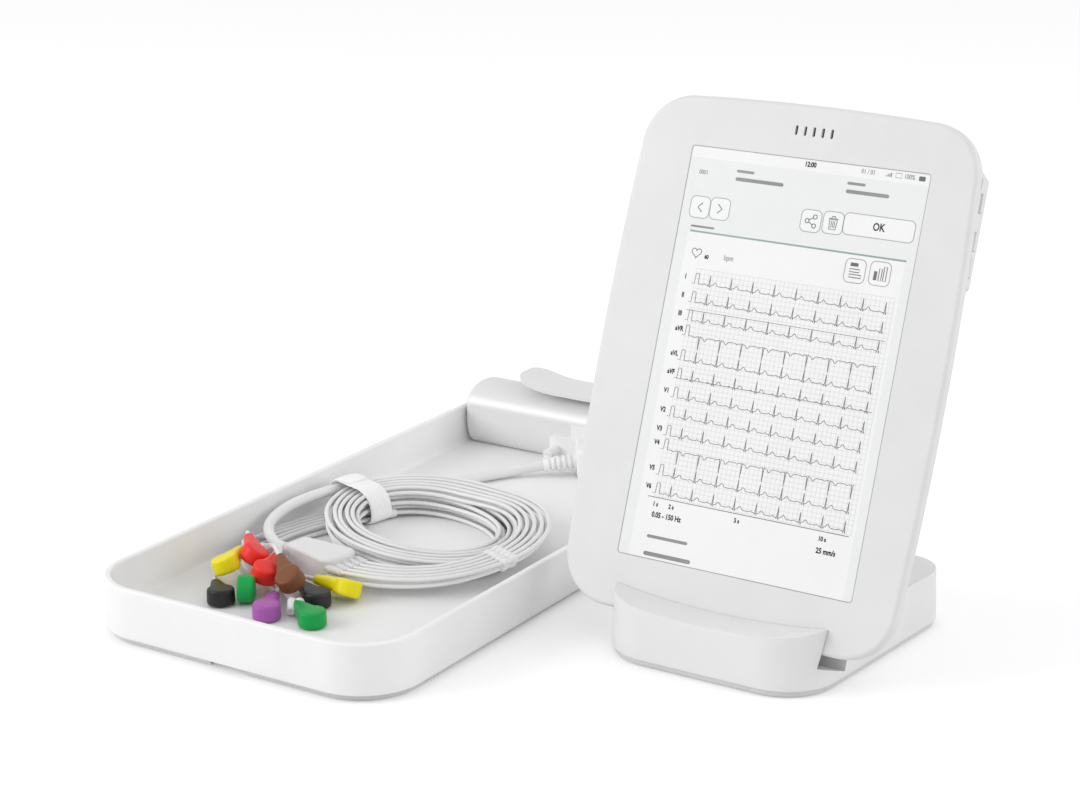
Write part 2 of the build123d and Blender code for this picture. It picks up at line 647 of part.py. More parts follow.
def dock_base():
    plate = level_slab(dock_outline(DOCK_BASE_INSET), DOCK_FOOT_HEIGHT, DOCK_UNDERSIDE_Z)
    board_far = DOCK_LENGTH - BOARD_FROM_REAR
    board_near = board_far - DOCK_BOARD[1]
    for side in (-1, 1):
        x = side * BOARD_RIB_X
        plate += block((x - BOARD_RIB / 2, board_near, DOCK_FOOT_HEIGHT),
                       (x + BOARD_RIB / 2, board_far - BOARD_RIB_END, DOCK_UNDERSIDE_Z + BOARD_STAND))
    for x, y in DOCK_FOOT_SPOTS:
        plate -= upright_bar(x, y, 0, DOCK_FOOT_HEIGHT + DOCK_FOOT_SUNK, DOCK_FOOT_RADIUS)
    for x, y in DOCK_SCREW_SPOTS:
        plate -= dock_screw(x, y, DOCK_SCREW_GAP)
    return DOCK_PLACE * plate


def dock_feet():
    return [DOCK_PLACE * upright_bar(x, y, 0, DOCK_FOOT_HEIGHT + DOCK_FOOT_SUNK, DOCK_FOOT_RADIUS)
            for x, y in DOCK_FOOT_SPOTS]


def dock_screw(x, y, gap):
    """A screw up through the dock's base, or with a gap the hole for it."""
    head_low = DOCK_FOOT_HEIGHT
    head = upright_bar(x, y, head_low, head_low + DOCK_SCREW_HEAD, DOCK_SCREW_RADIUS + gap)
    shank = upright_bar(x, y, head_low + DOCK_SCREW_HEAD, DOCK_UNDERSIDE_Z + DOCK_SCREW_LENGTH,
                        DOCK_SCREW_SHANK + gap)
    return head + shank


def dock_screws():
    return [DOCK_PLACE * dock_screw(x, y, 0) for x, y in DOCK_SCREW_SPOTS]


def ballast_plate():
    wide, deep, tall = BALLAST
    return DOCK_PLACE * block((-wide / 2, BALLAST_SET_BACK, DOCK_UNDERSIDE_Z),
                              (wide / 2, BALLAST_SET_BACK + deep, DOCK_UNDERSIDE_Z + tall))


def dock_board():
    wide, deep, thick = DOCK_BOARD
    low = DOCK_UNDERSIDE_Z + BOARD_STAND
    far = DOCK_LENGTH - BOARD_FROM_REAR
    return DOCK_PLACE * block((-wide / 2, far - deep, low), (wide / 2, far, low + thick))


def power_socket():
    wide, deep, tall = JACK
    low = dock_jack_low()
    far = DOCK_LENGTH - DOCK_WALL / 2
    body = block((-wide / 2, far - deep, low), (wide / 2, far, low + tall))
    bore = (Pos(0, far - JACK_BORE_DEPTH / 2, low + tall / 2) * Rot(90, 0, 0)
            * Cylinder(JACK_BORE, JACK_BORE_DEPTH + 1))
    return DOCK_PLACE * (body - bore)


def cradle_pad():
    gap = CONTACT_GAP
    near = PAD_SET_BACK - CONTACT_DEPTH / 2
    pad = block((-CRADLE_HALF, near - 1, -SLOT_DROP), (CRADLE_HALF, near - 1 + CRADLE_DEPTH, -CRADLE_GAP))
    window = block((-CONTACT_HALF - gap, near - 2, -SLOT_DROP - 1),
                   (CONTACT_HALF + gap, near + CONTACT_DEPTH + gap, 1))
    return TABLET_PLACE * (pad - window)


def contact_block():
    near = PAD_SET_BACK - CONTACT_DEPTH / 2
    body = block((-CONTACT_HALF, near, -SLOT_DROP), (CONTACT_HALF, near + CONTACT_DEPTH, -CONTACT_DROP))
    for x in contact_columns():
        body -= upright_bar(x, PAD_SET_BACK, -SLOT_DROP + PIN_FLOOR, 0, PIN_RADIUS + PIN_CLEARANCE)
    return TABLET_PLACE * body


def contact_pins():
    top = -PIN_TO_PAD
    return [TABLET_PLACE * upright_bar(x, PAD_SET_BACK, top - PIN_LENGTH, top, PIN_RADIUS)
            for x in contact_columns()]


# Recorder

def recorder_outline(inset):
    """The recorder's cross section, seen from its left end, drawn in by an inset."""
    depth = RECORDER_DEPTH - inset
    height = RECORDER_HEIGHT - inset
    (flow, flow_z), (fhigh, fhigh_z), (bhigh, bhigh_z), (blow, blow_z) = RECORDER_CURVES
    arcs = [
        ((flow, flow_z), flow - inset, flow_z - inset, 180),
        ((RECORDER_DEPTH - blow, blow_z), blow - inset, blow_z - inset, 270),
        ((RECORDER_DEPTH - bhigh, RECORDER_HEIGHT - bhigh_z), bhigh - inset, bhigh_z - inset, 0),
        ((fhigh, RECORDER_HEIGHT - fhigh_z), fhigh - inset, fhigh_z - inset, 90),
    ]
    edges = [EllipticalCenterArc(centre, wide, tall, start, arc_size=90)
             for centre, wide, tall, start in arcs]
    sides = [
        Line((flow, inset), (RECORDER_DEPTH - blow, inset)),
        Line((depth, blow_z), (depth, RECORDER_HEIGHT - bhigh_z)),
        Line((RECORDER_DEPTH - bhigh, height), (fhigh, height)),
        Line((inset, RECORDER_HEIGHT - fhigh_z), (inset, flow_z)),
    ]
    return make_face(Curve() + (edges + sides))


def recorder_slab(inset, left, right):
    """The recorder's section run from one place along it to another, measured from its middle."""
    plane = Plane((TRAY_X + left, RECORDER_FRONT_Y, TRAY_FLOOR_Z), x_dir=(0, 1, 0), z_dir=(1, 0, 0))
    return extrude(plane * recorder_outline(inset), right - left)


def socket_blank():
    """The lead socket's block: a bar that takes the plug, with a crown above it."""
    half = SOCKET_WIDTH / 2
    bar = block((-half, 0, -SOCKET_HEIGHT / 2), (half, SOCKET_DEPTH, SOCKET_HEIGHT / 2))
    crown = block((-SOCKET_CROWN_WIDTH / 2, 0, 0),
                  (SOCKET_CROWN_WIDTH / 2, SOCKET_DEPTH, SOCKET_CROWN_HEIGHT))
    return bar + crown


def plug_hole(margin):
    """The hole for the plug's contacts in the lead socket, or drawn in by a margin in the plug's bar."""
    wide, tall = SOCKET_HOLE
    return block((-wide / 2 + margin, -INSERT_ROOT, -tall / 2 + margin),
                 (wide / 2 - margin, INSERT_REACH + INSERT_GAP, tall / 2 - margin))


def lead_socket():
    body = socket_blank() - plug_hole(0)
    for side in (-1, 1):
        x = side * THUMBSCREW_SPACING / 2
        body -= cross_bar(x, 0, -THUMBSCREW_BOTTOM_GAP, THUMBSCREW_REACH + THUMBSCREW_BOTTOM_GAP,
                          THUMBSCREW_SHANK + THUMBSCREW_CLEARANCE)
    return PLUG_PLACE * body


def recorder_case():
    half = RECORDER_LENGTH / 2 - END_CAP
    tube = recorder_slab(0, -half, half) - recorder_slab(RECORDER_WALL, -half, half)
    return tube - PLUG_PLACE * socket_blank()


def recorder_end_caps():
    half = RECORDER_LENGTH / 2
    left = recorder_slab(0, -half, -half + END_CAP)
    left_rim = left.edges().filter_by(lambda edge: edge.bounding_box().max.X < TRAY_X - half + 0.01)
    right = recorder_slab(0, half - END_CAP, half)
    right_rim = right.edges().filter_by(lambda edge: edge.bounding_box().min.X > TRAY_X + half - 0.01)
    return [fillet(left_rim, END_CAP_ROUND), fillet(right_rim, END_CAP_ROUND)]


def recorder_battery():
    wide, deep, tall = RECORDER_BATTERY
    near = RECORDER_FRONT_Y + RECORDER_BATTERY_SET_BACK
    low = TRAY_FLOOR_Z + RECORDER_WALL
    return block((TRAY_X - wide / 2, near, low), (TRAY_X + wide / 2, near + deep, low + tall))


def recorder_board():
    wide, deep, thick = RECORDER_BOARD
    near = RECORDER_FRONT_Y + RECORDER_BATTERY_SET_BACK + (RECORDER_BATTERY[1] - deep) / 2
    low = TRAY_FLOOR_Z + RECORDER_WALL + RECORDER_BATTERY[2]
    return block((TRAY_X - wide / 2, near, low), (TRAY_X + wide / 2, near + deep, low + thick))


RECORDER_TOP_Z = TRAY_FLOOR_Z + RECORDER_HEIGHT
HINGE_X = TRAY_X + CLIP_HINGE_X
HINGE_Z = RECORDER_TOP_Z + CLIP_BARREL_GAP + CLIP_BARREL_RADIUS
KNUCKLE_NEAR = RECORDER_FRONT_Y + CLIP_KNUCKLE_SET_BACK
KNUCKLE_FAR = KNUCKLE_NEAR + CLIP_KNUCKLE + 2 * CLIP_KNUCKLE_GAP


def cross_bar(x, z, near, far, radius):
    """A round bar along Y."""
    return Pos(x, (near + far) / 2, z) * Rot(90, 0, 0) * Cylinder(radius, far - near)


def clip_bracket():
    """Two ears on the recorder's domed top that carry the belt clip's pin."""
    left = HINGE_X - TRAY_X - CLIP_EAR_FOOT
    dome = recorder_slab(-CLIP_EAR_SEAT, left, left + 2 * CLIP_EAR_FOOT)
    ears = []
    for near in (KNUCKLE_NEAR - CLIP_EAR, KNUCKLE_FAR):
        foot = block((HINGE_X - CLIP_EAR_FOOT / 2, near, RECORDER_TOP_Z - CLIP_EAR_ROOT),
                     (HINGE_X + CLIP_EAR_FOOT / 2, near + CLIP_EAR, HINGE_Z))
        round_top = cross_bar(HINGE_X, HINGE_Z, near, near + CLIP_EAR, CLIP_EAR_FOOT / 2)
        below_top = block((HINGE_X - CLIP_EAR_FOOT, near - 1, RECORDER_TOP_Z - CLIP_EAR_ROOT),
                      (HINGE_X + CLIP_EAR_FOOT, near + CLIP_EAR + 1, HINGE_Z + CLIP_BARREL_RADIUS + 1))
        bore = cross_bar(HINGE_X, HINGE_Z, near - 1, near + CLIP_EAR + 1,
                         CLIP_PIN_RADIUS + CLIP_PIN_CLEARANCE)
        ears.append(((foot + round_top) & below_top) - bore - dome)
    return ears


def belt_clip():
    """The sprung flap over the recorder's top, with its knuckle and pin."""
    low = RECORDER_TOP_Z + CLIP_LIFT
    high = low + CLIP_THICKNESS
    flat_end = HINGE_X - CLIP_REACH + CLIP_FLARE
    tip = HINGE_X - CLIP_REACH
    middle = (flat_end + tip) / 2
    bend = CLIP_FLARE_RISE * CLIP_FLARE_SAG
    edges = Curve() + [
        Line((HINGE_X, low), (flat_end, low)),
        ThreePointArc((flat_end, low), (middle, low + bend), (tip, low + CLIP_FLARE_RISE)),
        Line((tip, low + CLIP_FLARE_RISE), (tip, high + CLIP_FLARE_RISE)),
        ThreePointArc((tip, high + CLIP_FLARE_RISE), (middle, high + bend), (flat_end, high)),
        Line((flat_end, high), (HINGE_X, high)),
        Line((HINGE_X, high), (HINGE_X, low)),
    ]
    near = RECORDER_FRONT_Y + CLIP_SET_BACK
    far = near + CLIP_WIDTH
    side = Plane((0, far, 0), x_dir=(1, 0, 0), z_dir=(0, -1, 0))
    flap = extrude(side * make_face(edges), CLIP_WIDTH)
    shoulder = HINGE_X - CLIP_EAR_FOOT / 2 - CLIP_KNUCKLE_GAP
    plan = (Pos((tip + shoulder) / 2, (near + far) / 2)
            * RectangleRounded(shoulder - tip, CLIP_WIDTH, CLIP_CORNER))
    wide_part = flap & level_slab(plan, low - 1, high + CLIP_FLARE_RISE + 1)
    knuckle_near = KNUCKLE_NEAR + CLIP_KNUCKLE_GAP
    knuckle_far = knuckle_near + CLIP_KNUCKLE
    neck = flap & block((shoulder - CLIP_CORNER, knuckle_near, low - 1), (HINGE_X, knuckle_far, high + 1))
    barrel = cross_bar(HINGE_X, HINGE_Z, knuckle_near, knuckle_far, CLIP_BARREL_RADIUS)
    pin = cross_bar(HINGE_X, HINGE_Z, KNUCKLE_NEAR - CLIP_EAR, KNUCKLE_FAR + CLIP_EAR, CLIP_PIN_RADIUS)
    return wide_part + neck + barrel + pin


# Plug, drawn from the middle of the socket's face: X across, Y into the recorder and Z up

def plug_hood():
    """The plug's body: a bar against the socket and a slanted hood with the cable's exit."""
    bar_half = SOCKET_WIDTH / 2
    bar = block((-bar_half, -FLANGE_THICKNESS, -SOCKET_HEIGHT / 2), (bar_half, 0, SOCKET_HEIGHT / 2))
    (near_x, near_y), (far_x, far_y) = HOOD_SLANT
    points = [(near_x, -near_y + 1), (far_x, -far_y), (HOOD_HALF, -HOOD_LENGTH), (HOOD_HALF, -near_y + 1)]
    hood = level_slab(make_face(Polyline(points, close=True)), -HOOD_HEIGHT / 2, HOOD_HEIGHT / 2)
    free_edges = hood.edges().filter_by(lambda edge: edge.bounding_box().min.Y < -FLANGE_THICKNESS - 1)
    body = bar + fillet(free_edges, HOOD_ROUND)
    for side in (-1, 1):
        body -= cross_bar(side * THUMBSCREW_SPACING / 2, 0, -FLANGE_THICKNESS - 1, 1,
                          THUMBSCREW_SHANK + THUMBSCREW_CLEARANCE)
    return PLUG_PLACE * (body - plug_hole(INSERT_GAP))


def plug_insert():
    wide, tall = SOCKET_HOLE
    return PLUG_PLACE * block((-wide / 2 + INSERT_GAP, -INSERT_ROOT, -tall / 2 + INSERT_GAP),
                              (wide / 2 - INSERT_GAP, INSERT_REACH, tall / 2 - INSERT_GAP))


def thumbscrew(side):
    """One of the two slotted screws that hold the plug."""
    x = side * THUMBSCREW_SPACING / 2
    seat = -FLANGE_THICKNESS - THUMBSCREW_SEAT
    head = cross_bar(x, 0, seat - THUMBSCREW_LENGTH, seat, THUMBSCREW_RADIUS)
    shank = cross_bar(x, 0, seat - 1, THUMBSCREW_REACH, THUMBSCREW_SHANK)
    front = seat - THUMBSCREW_LENGTH
    slot = block((x - THUMBSCREW_RADIUS, front - 1, -THUMBSCREW_SLOT / 2),
                 (x + THUMBSCREW_RADIUS, front + THUMBSCREW_SLOT, THUMBSCREW_SLOT / 2))
    return PLUG_PLACE * (head + shank - slot)


def relief_start():
    """Where the plug's strain relief leaves the hood, and which way it points."""
    (near_x, near_y), (far_x, far_y) = HOOD_SLANT
    along = Vector(far_x - near_x, near_y - far_y, 0).normalized()
    outward = Vector(along.Y, -along.X, 0)
    dip = radians(RELIEF_DIP)
    heading = (outward * cos(dip) + Vector(0, 0, -1) * sin(dip)).normalized()
    slant_length = Vector(far_x - near_x, near_y - far_y, 0).length
    root = Vector(near_x, -near_y, 0) + along * (slant_length * RELIEF_SHARE)
    corner = PLUG_PLACE.position
    return corner + root, heading


def plug_relief():
    """A ribbed, tapering sleeve round the trunk cable's end."""
    root, heading = relief_start()
    pitch = RELIEF_LENGTH / (RELIEF_RIBS + 1)
    points = [(0, -RELIEF_ROOT), (RELIEF_ROOT_RADIUS, -RELIEF_ROOT)]
    for rib in range(RELIEF_RIBS + 1):
        share = rib / RELIEF_RIBS
        radius = RELIEF_ROOT_RADIUS + (RELIEF_TIP_RADIUS - RELIEF_ROOT_RADIUS) * share
        start = rib * pitch
        edge = start + pitch * RELIEF_RIB_SHARE
        points += [(radius, start), (radius, edge)]
        if rib < RELIEF_RIBS:
            points += [(radius - RELIEF_GROOVE, edge + RELIEF_EASE),
                       (radius - RELIEF_GROOVE, start + pitch)]
    points += [(RELIEF_TIP_RADIUS, RELIEF_LENGTH), (0, RELIEF_LENGTH)]
    profile = Plane.XZ * make_face(Polyline(points, close=True))
    sleeve = revolve(profile, Axis.Z, 360)
    placed = Plane(root, z_dir=heading) * sleeve
    hood_region = PLUG_PLACE * block((-HOOD_HALF, -HOOD_LENGTH, -HOOD_HEIGHT),
                                     (HOOD_HALF, 0, HOOD_HEIGHT))
    return placed - (hood_region & plug_hood())


# Cords

def from_corner(point):
    return CORNER_POINT + Vector(*point)


def tube(path, radius):
    """A round cord along a path."""
    section = Plane(origin=path @ 0, z_dir=path % 0) * Circle(radius)
    return sweep(section, path=path)


def eased_path(points, diameter, name):
    """Straight runs joined by arcs as large as the runs allow. The least radius is printed."""
    radii = []
    for before, here, after in zip(points, points[1:], points[2:]):
        run_in = here - before
        run_out = after - here
        turn = radians(run_in.get_angle(run_out))
        radii.append(0.45 * min(run_in.length, run_out.length) / tan(turn / 2))
    least = min(radii)
    print(f"{name}: radii {least:.1f} to {max(radii):.1f}, {least / diameter:.1f} diameters least")
    return FilletPolyline(*points, radius=radii)


def splitter_frame():
    """The splitter's place: its middle line starts at the trunk's end and points to the leads."""
    start = from_corner((*SPLITTER_TAIL, 0))
    heading = Vector(cos(radians(SPLITTER_ANGLE)), sin(radians(SPLITTER_ANGLE)), 0)
    return start, heading


def splitter_outline(inset):
    tail = SPLITTER_TAIL_HALF - inset
    head = SPLITTER_HEAD_HALF - inset
    near = inset
    far = SPLITTER_LENGTH - inset
    face = make_face(Polyline([(near, -tail), (far, -head), (far, head), (near, tail)], close=True))
    corners = face.vertices().sort_by(Axis.X)
    face = fillet(corners[:2], SPLITTER_TAIL_CORNER)
    return fillet(face.vertices().sort_by(Axis.X)[-2:], SPLITTER_HEAD_CORNER)


def splitter_piece(low, high, round_top):
    start, heading = splitter_frame()
    body = level_slab(splitter_outline(0), low, high)
    if round_top:
        top = body.edges().filter_by(lambda edge: edge.bounding_box().min.Z > high - 0.01)
        body = fillet(top, SPLITTER_ROUND)
    return Plane(start, x_dir=heading, z_dir=(0, 0, 1)) * body


def trunk_end_z():
    return (SPLITTER_BOTTOM_Z + SPLITTER_TOP_Z) / 2


def splitter_relief():
    start, heading = splitter_frame()
    face = start + Vector(0, 0, trunk_end_z())
    root_wall, tip_wall = SPLITTER_RELIEF_WALLS
    cone = Cone(TRUNK_DIAMETER / 2 + root_wall, TRUNK_DIAMETER / 2 + tip_wall, SPLITTER_RELIEF)
    return Plane(face - heading * (SPLITTER_RELIEF / 2), z_dir=-heading) * cone


def lead_slots():
    """Column from the inner side and row from below, for each lead."""
    return [(lead // 2, lead % 2) for lead in range(len(CLIPS))]


def lead_exit(column, row):
    """Where a lead leaves the splitter's reliefs."""
    start, heading = splitter_frame()
    across = Vector(heading.Y, -heading.X, 0)
    side = (column - 2) * LEAD_SPREAD
    height = LEAD_EXIT_Z + (row - 0.5) * LEAD_SPREAD
    return start + heading * (SPLITTER_LENGTH + LEAD_RELIEF) + across * side + Vector(0, 0, height), heading


def lead_reliefs():
    """A short sleeve for each lead, its root cut to the splitter's rounded corners."""
    start, heading = splitter_frame()
    block_of_two = level_slab(splitter_outline(0), SPLITTER_BOTTOM_Z, SPLITTER_TOP_Z)
    housing = Plane(start, x_dir=heading, z_dir=(0, 0, 1)) * block_of_two
    length = LEAD_RELIEF + SPLITTER_HEAD_CORNER
    sleeves = []
    for column, row in lead_slots():
        end, heading = lead_exit(column, row)
        middle = Plane(end - heading * (length / 2), z_dir=heading)
        sleeves.append(middle * Cylinder(LEAD_RELIEF_RADIUS, length) - housing)
    return sleeves


def wave(values, angle):
    """A mean with one swell and a double swell round the ring, each with its crest's angle."""
    mean, swell, crest, double_swell, double_crest = values
    return (mean + swell * cos(radians(angle - crest))
            + double_swell * cos(radians(2 * (angle - double_crest))))


COIL_END = TIE_ANGLE + 720.0
COIL_START = COIL_END - 360.0 * COIL_TURNS


def layers_above_floor(angle):
    """Four rows up in the first turn, two in the second and none in the last."""
    first, last = STEP_DOWN
    rows = 4.0
    for turn in range(2):
        share = min(max((angle - 360 * turn - first) / (last - first), 0.0), 1.0)
        rows -= 1.0 - cos(radians(180 * share))
    return rows


def tie_lift(angle):
    away = abs((angle - TIE_ANGLE + 180) % 360 - 180)
    return TIE_LIFT * cos(radians(90 * min(away / TIE_LIFT_SPAN, 1.0))) ** 2


def coil_spot(column, row, angle):
    """A lead's place in the coil."""
    pitch = wave(RING_PITCH, angle)
    rows = layers_above_floor(angle)
    radius = wave(RING_INNER, angle) + pitch * (column + 0.5 * row)
    height = (TRAY_FLOOR_Z + CORD_LIFT + LEAD_DIAMETER / 2 + ROW_RISE * (rows + row)
              + LAYER_GAP * rows / 2 + tie_lift(angle))
    return ring_point(radius, angle, height)


def way_in_spot(column, row, knot):
    """A lead's place on its way from the splitter into the coil."""
    angle, middle, height, pitch, rise, lean = knot
    radius = middle + (column - 2) * pitch + (row - 0.5) * lean
    return ring_point(radius, angle, height + (row - 0.5) * rise)


def ring_point(radius, angle, height):
    x, y = RING_CENTRE
    return from_corner((x + radius * cos(radians(angle)), y + radius * sin(radians(angle)), height))


def lead_knots(column, row):
    """Knots and headings of a lead from the splitter to the end of its coil."""
    exit_point, exit_heading = lead_exit(column, row)
    angles = [knot[0] for knot in WAY_IN]
    knots = [way_in_spot(column, row, knot) for knot in WAY_IN]
    quarter = 90.0
    steps = round((COIL_END - COIL_START) / quarter)
    for step in range(steps + 1):
        angles.append(COIL_START + quarter * step)
        knots.append(coil_spot(column, row, angles[-1]))
    headings = []
    small = 4.0
    for place, angle in enumerate(angles):
        if angle >= COIL_START + small:
            heading = coil_spot(column, row, angle + small) - coil_spot(column, row, angle - small)
        else:
            before = knots[place - 1] if place else exit_point
            heading = eased_heading(before, knots[place], knots[place + 1])
        headings.append(heading.normalized())
    start = exit_point + exit_heading * LEAD_DIAMETER
    return [exit_point, start] + knots, [exit_heading, exit_heading] + headings


def eased_heading(before, here, after):
    """The heading at a knot of the circle through it and its two neighbours."""
    run_in = here - before
    run_out = after - here
    return run_in * (run_out.length / run_in.length) + run_out * (run_in.length / run_out.length)


def biarc_joint(start, start_heading, end, end_heading):
    """Where the two arcs of a smooth bend meet, for its ends and headings."""
    chord = end - start
    across = chord.dot(start_heading + end_heading)
    part = 2 * (1 - start_heading.dot(end_heading))
    reach = (sqrt(across ** 2 + part * chord.dot(chord)) - across) / part
    return (start + end + (start_heading - end_heading) * reach) * 0.5


def coil_path(column, row):
    """A lead from its relief to just past the tie, as arcs joined smoothly."""
    knots, headings = lead_knots(column, row)
    edges = [Line(knots[0], knots[1]).edge()]
    for place in range(1, len(knots) - 1):
        joint = biarc_joint(knots[place], headings[place], knots[place + 1], headings[place + 1])
        first = TangentArc(knots[place], joint, tangent=headings[place]).edge()
        edges += [first, TangentArc(joint, knots[place + 1], tangent=first % 1).edge()]
    end = knots[-1]
    edges.append(Line(end, end + (edges[-1] % 1) * LEAD_DIAMETER).edge())
    return Wire(edges)


def clip_frame(node):
    """A clip's plane: its origin in the head, X towards the wire and Z out of its flat face."""
    head, towards_wire, roll = CLIPS[node]
    along = Vector(*towards_wire).normalized()
    up = Vector(0, 0, 1)
    face = (up - along * up.dot(along)).normalized()
    rolled = face * cos(radians(roll)) + along.cross(face) * sin(radians(roll))
    return Plane(from_corner(head), x_dir=along, z_dir=rolled)


def clip_wire_end(node):
    """Where a clip's wire enters its neck, and the way towards the wire."""
    frame = clip_frame(node)
    return frame.origin + frame.x_dir * NECK_REACH, frame.x_dir


def tail_path(lead, node, coil_end, heading):
    """A lead's loose end: out of the tie, along its points and into its clip."""
    end, outward = clip_wire_end(node)
    points = [coil_end, coil_end + heading * TAIL_LEAD_OUT]
    points += [from_corner(point) for point in TAILS[lead]]
    points += [end + outward * TAIL_LEAD_IN, end]
    return eased_path(points, LEAD_DIAMETER, node)


def lead_clip(node):
    """A round head with a tapering neck, hollow where its socket sits."""
    head = Cylinder(HEAD_RADIUS, HEAD_THICKNESS)
    head = fillet(head.edges(), HEAD_ROUND)
    root_radius, tip_radius = NECK_RADII
    root = HEAD_RADIUS / 2
    neck = Plane((root, 0, 0), x_dir=(0, 1, 0), z_dir=(1, 0, 0)) * Cone(
        root_radius, tip_radius, NECK_REACH - root, align=(Align.CENTER, Align.CENTER, Align.MIN))
    pocket = (Pos(0, 0, (CLIP_SOCKET_DEPTH - HEAD_THICKNESS) / 2)
              * Cylinder(CLIP_SOCKET_RADIUS, CLIP_SOCKET_DEPTH))
    return clip_frame(node) * (head + neck - pocket)


def clip_socket(node):
    outer = Cylinder(CLIP_SOCKET_RADIUS, CLIP_SOCKET_DEPTH)
    ring = outer - Cylinder(CLIP_SOCKET_BORE, CLIP_SOCKET_DEPTH + 1)
    return clip_frame(node) * (Pos(0, 0, (CLIP_SOCKET_DEPTH - HEAD_THICKNESS) / 2) * ring)


def cable_tie():
    """A soft band round the coil and the trunk."""
    angle = radians(TIE_ANGLE)
    outward = Vector(cos(angle), sin(angle), 0)
    low = TRAY_FLOOR_Z + CORD_LIFT / 2
    near, far = TIE_SPAN
    middle = ring_point((near + far) / 2, TIE_ANGLE, (low + TIE_TOP_Z) / 2)
    wide = far - near
    tall = TIE_TOP_Z - low - 2 * TIE_THICKNESS
    outer = RectangleRounded(wide + 2 * TIE_THICKNESS, tall + 2 * TIE_THICKNESS, TIE_ROUND)
    inner = RectangleRounded(wide, tall, TIE_ROUND - TIE_THICKNESS)
    plane = Plane(middle, x_dir=outward, z_dir=(outward.Y, -outward.X, 0))
    return extrude(plane * (outer - inner), TIE_WIDTH / 2, both=True)


def trunk_path():
    root, heading = relief_start()
    start = root + heading * RELIEF_LENGTH
    tail, splitter_heading = splitter_frame()
    end = tail + Vector(0, 0, trunk_end_z()) - splitter_heading * SPLITTER_RELIEF
    points = [start, start + heading * TRUNK_LEAD_OUT]
    points += [from_corner(point) for point in TRUNK_ROUTE]
    points += [end - splitter_heading * TRUNK_LEAD_OUT, end]
    return eased_path(points, TRUNK_DIAMETER, "trunk_cable")


def spots_along(path, step):
    """Points along a path with their distance from its start."""
    spots = []
    travelled = 0.0
    for edge in path.edges():
        count = max(int(edge.length / step), 1)
        for number in range(count):
            spots.append((travelled + edge.length * number / count, edge @ (number / count)))
        travelled += edge.length
    return spots


def least_gap(one, other, apart):
    """The least distance between two lists of spots that lie some way apart along one cord."""
    cell = 2.5 * LEAD_DIAMETER
    cells = {}
    for travelled, spot in other:
        key = (int(spot.X // cell), int(spot.Y // cell))
        cells.setdefault(key, []).append((travelled, spot))
    least = cell
    for travelled, spot in one:
        column, row = int(spot.X // cell), int(spot.Y // cell)
        for key in [(column + i, row + j) for i in (-1, 0, 1) for j in (-1, 0, 1)]:
            for other_travelled, other_spot in cells.get(key, ()):
                if apart and abs(travelled - other_travelled) < apart:
                    continue
                least = min(least, (spot - other_spot).length)
    return least


def write_cords():
    """Write the trunk, the coil and the loose ends, and print their lengths and least gaps."""
    trunk = trunk_path()
    print(f"trunk_cable: {trunk.length:.0f} long")
    trunk_tube = tube(trunk, TRUNK_DIAMETER / 2)
    save("trunk_cable", trunk_tube)
    coils = []
    tails = []
    spots = []
    for lead, (node, (column, row)) in enumerate(zip(CLIPS, lead_slots())):
        coil = coil_path(column, row)
        tail = tail_path(lead, node, coil @ 1, coil % 1)
        length = coil.length + tail.length
        spots.append(spots_along(coil, 2.0))
        own = least_gap(spots[-1], spots[-1], 10 * LEAD_DIAMETER) - LEAD_DIAMETER
        print(f"{node}: lead {length:.0f} long, least gap to itself {own:.2f}")
        coils.append(tube(coil, LEAD_DIAMETER / 2))
        tails.append(tube(tail, LEAD_DIAMETER / 2))
    between = min(least_gap(spots[i], spots[j], 0) for i in range(10) for j in range(i)) - LEAD_DIAMETER
    print(f"least gap between leads {between:.2f}")
    area = pi * LEAD_DIAMETER ** 2 / 4
    for lead, coil in enumerate(coils):
        share = coil.volume / area / spots[lead][-1][0]
        print(f"lead {lead}: volume over section times length {share:.3f}")
    save("lead_coils", Compound(children=coils))
    save("lead_tails", Compound(children=tails))


def write_group(node, shapes):
    save(node, Compound(children=shapes))


save("tray_shell", tray_shell())
save("tray_base", tray_base())
write_group("tray_feet", tray_feet())

set_tablet("front_bezel", [front_bezel()])
set_tablet("touch_glass", [touch_glass()])
set_tablet("display_panel", [display_panel()])
set_tablet("mid_frame", [mid_frame()])
set_tablet("rear_cover", [rear_cover()])
set_tablet("battery", [tablet_battery()])
set_tablet("mainboard", [mainboard()])
set_tablet("speaker", [speaker()])
set_tablet("contact_pads", contact_pads())
set_tablet("rear_screws", [rear_screw(x, z, 0) for x, z in rear_screw_spots()])
for button, height in BUTTON_RAISES.items():
    set_tablet(button, [side_button(height)])

save("dock_shell", dock_shell())
save("dock_base", dock_base())
write_group("dock_feet", dock_feet())
write_group("dock_screws", dock_screws())
save("ballast_plate", ballast_plate())
save("dock_board", dock_board())
save("power_socket", power_socket())
save("cradle_pad", cradle_pad())
save("contact_block", contact_block())
write_group("contact_pins", contact_pins())

save("recorder_case", recorder_case())
write_group("recorder_end_caps", recorder_end_caps())
save("recorder_battery", recorder_battery())
save("recorder_board", recorder_board())
save("lead_socket", lead_socket())
write_group("clip_bracket", clip_bracket())
save("belt_clip", belt_clip())

save("plug_hood", plug_hood())
save("plug_insert", plug_insert())
save("plug_relief", plug_relief())
save("thumbscrew_left", thumbscrew(-1))
save("thumbscrew_right", thumbscrew(1))

save("splitter_top", splitter_piece(SPLITTER_SEAM_Z, SPLITTER_TOP_Z, True))
save("splitter_base", splitter_piece(SPLITTER_BOTTOM_Z, SPLITTER_SEAM_Z, False))
save("splitter_relief", splitter_relief())
write_group("lead_reliefs", lead_reliefs())
write_cords()
save("cable_tie", cable_tie())
for clip in CLIPS:
    save(clip, lead_clip(clip))
write_group("clip_sockets", [clip_socket(clip) for clip in CLIPS])
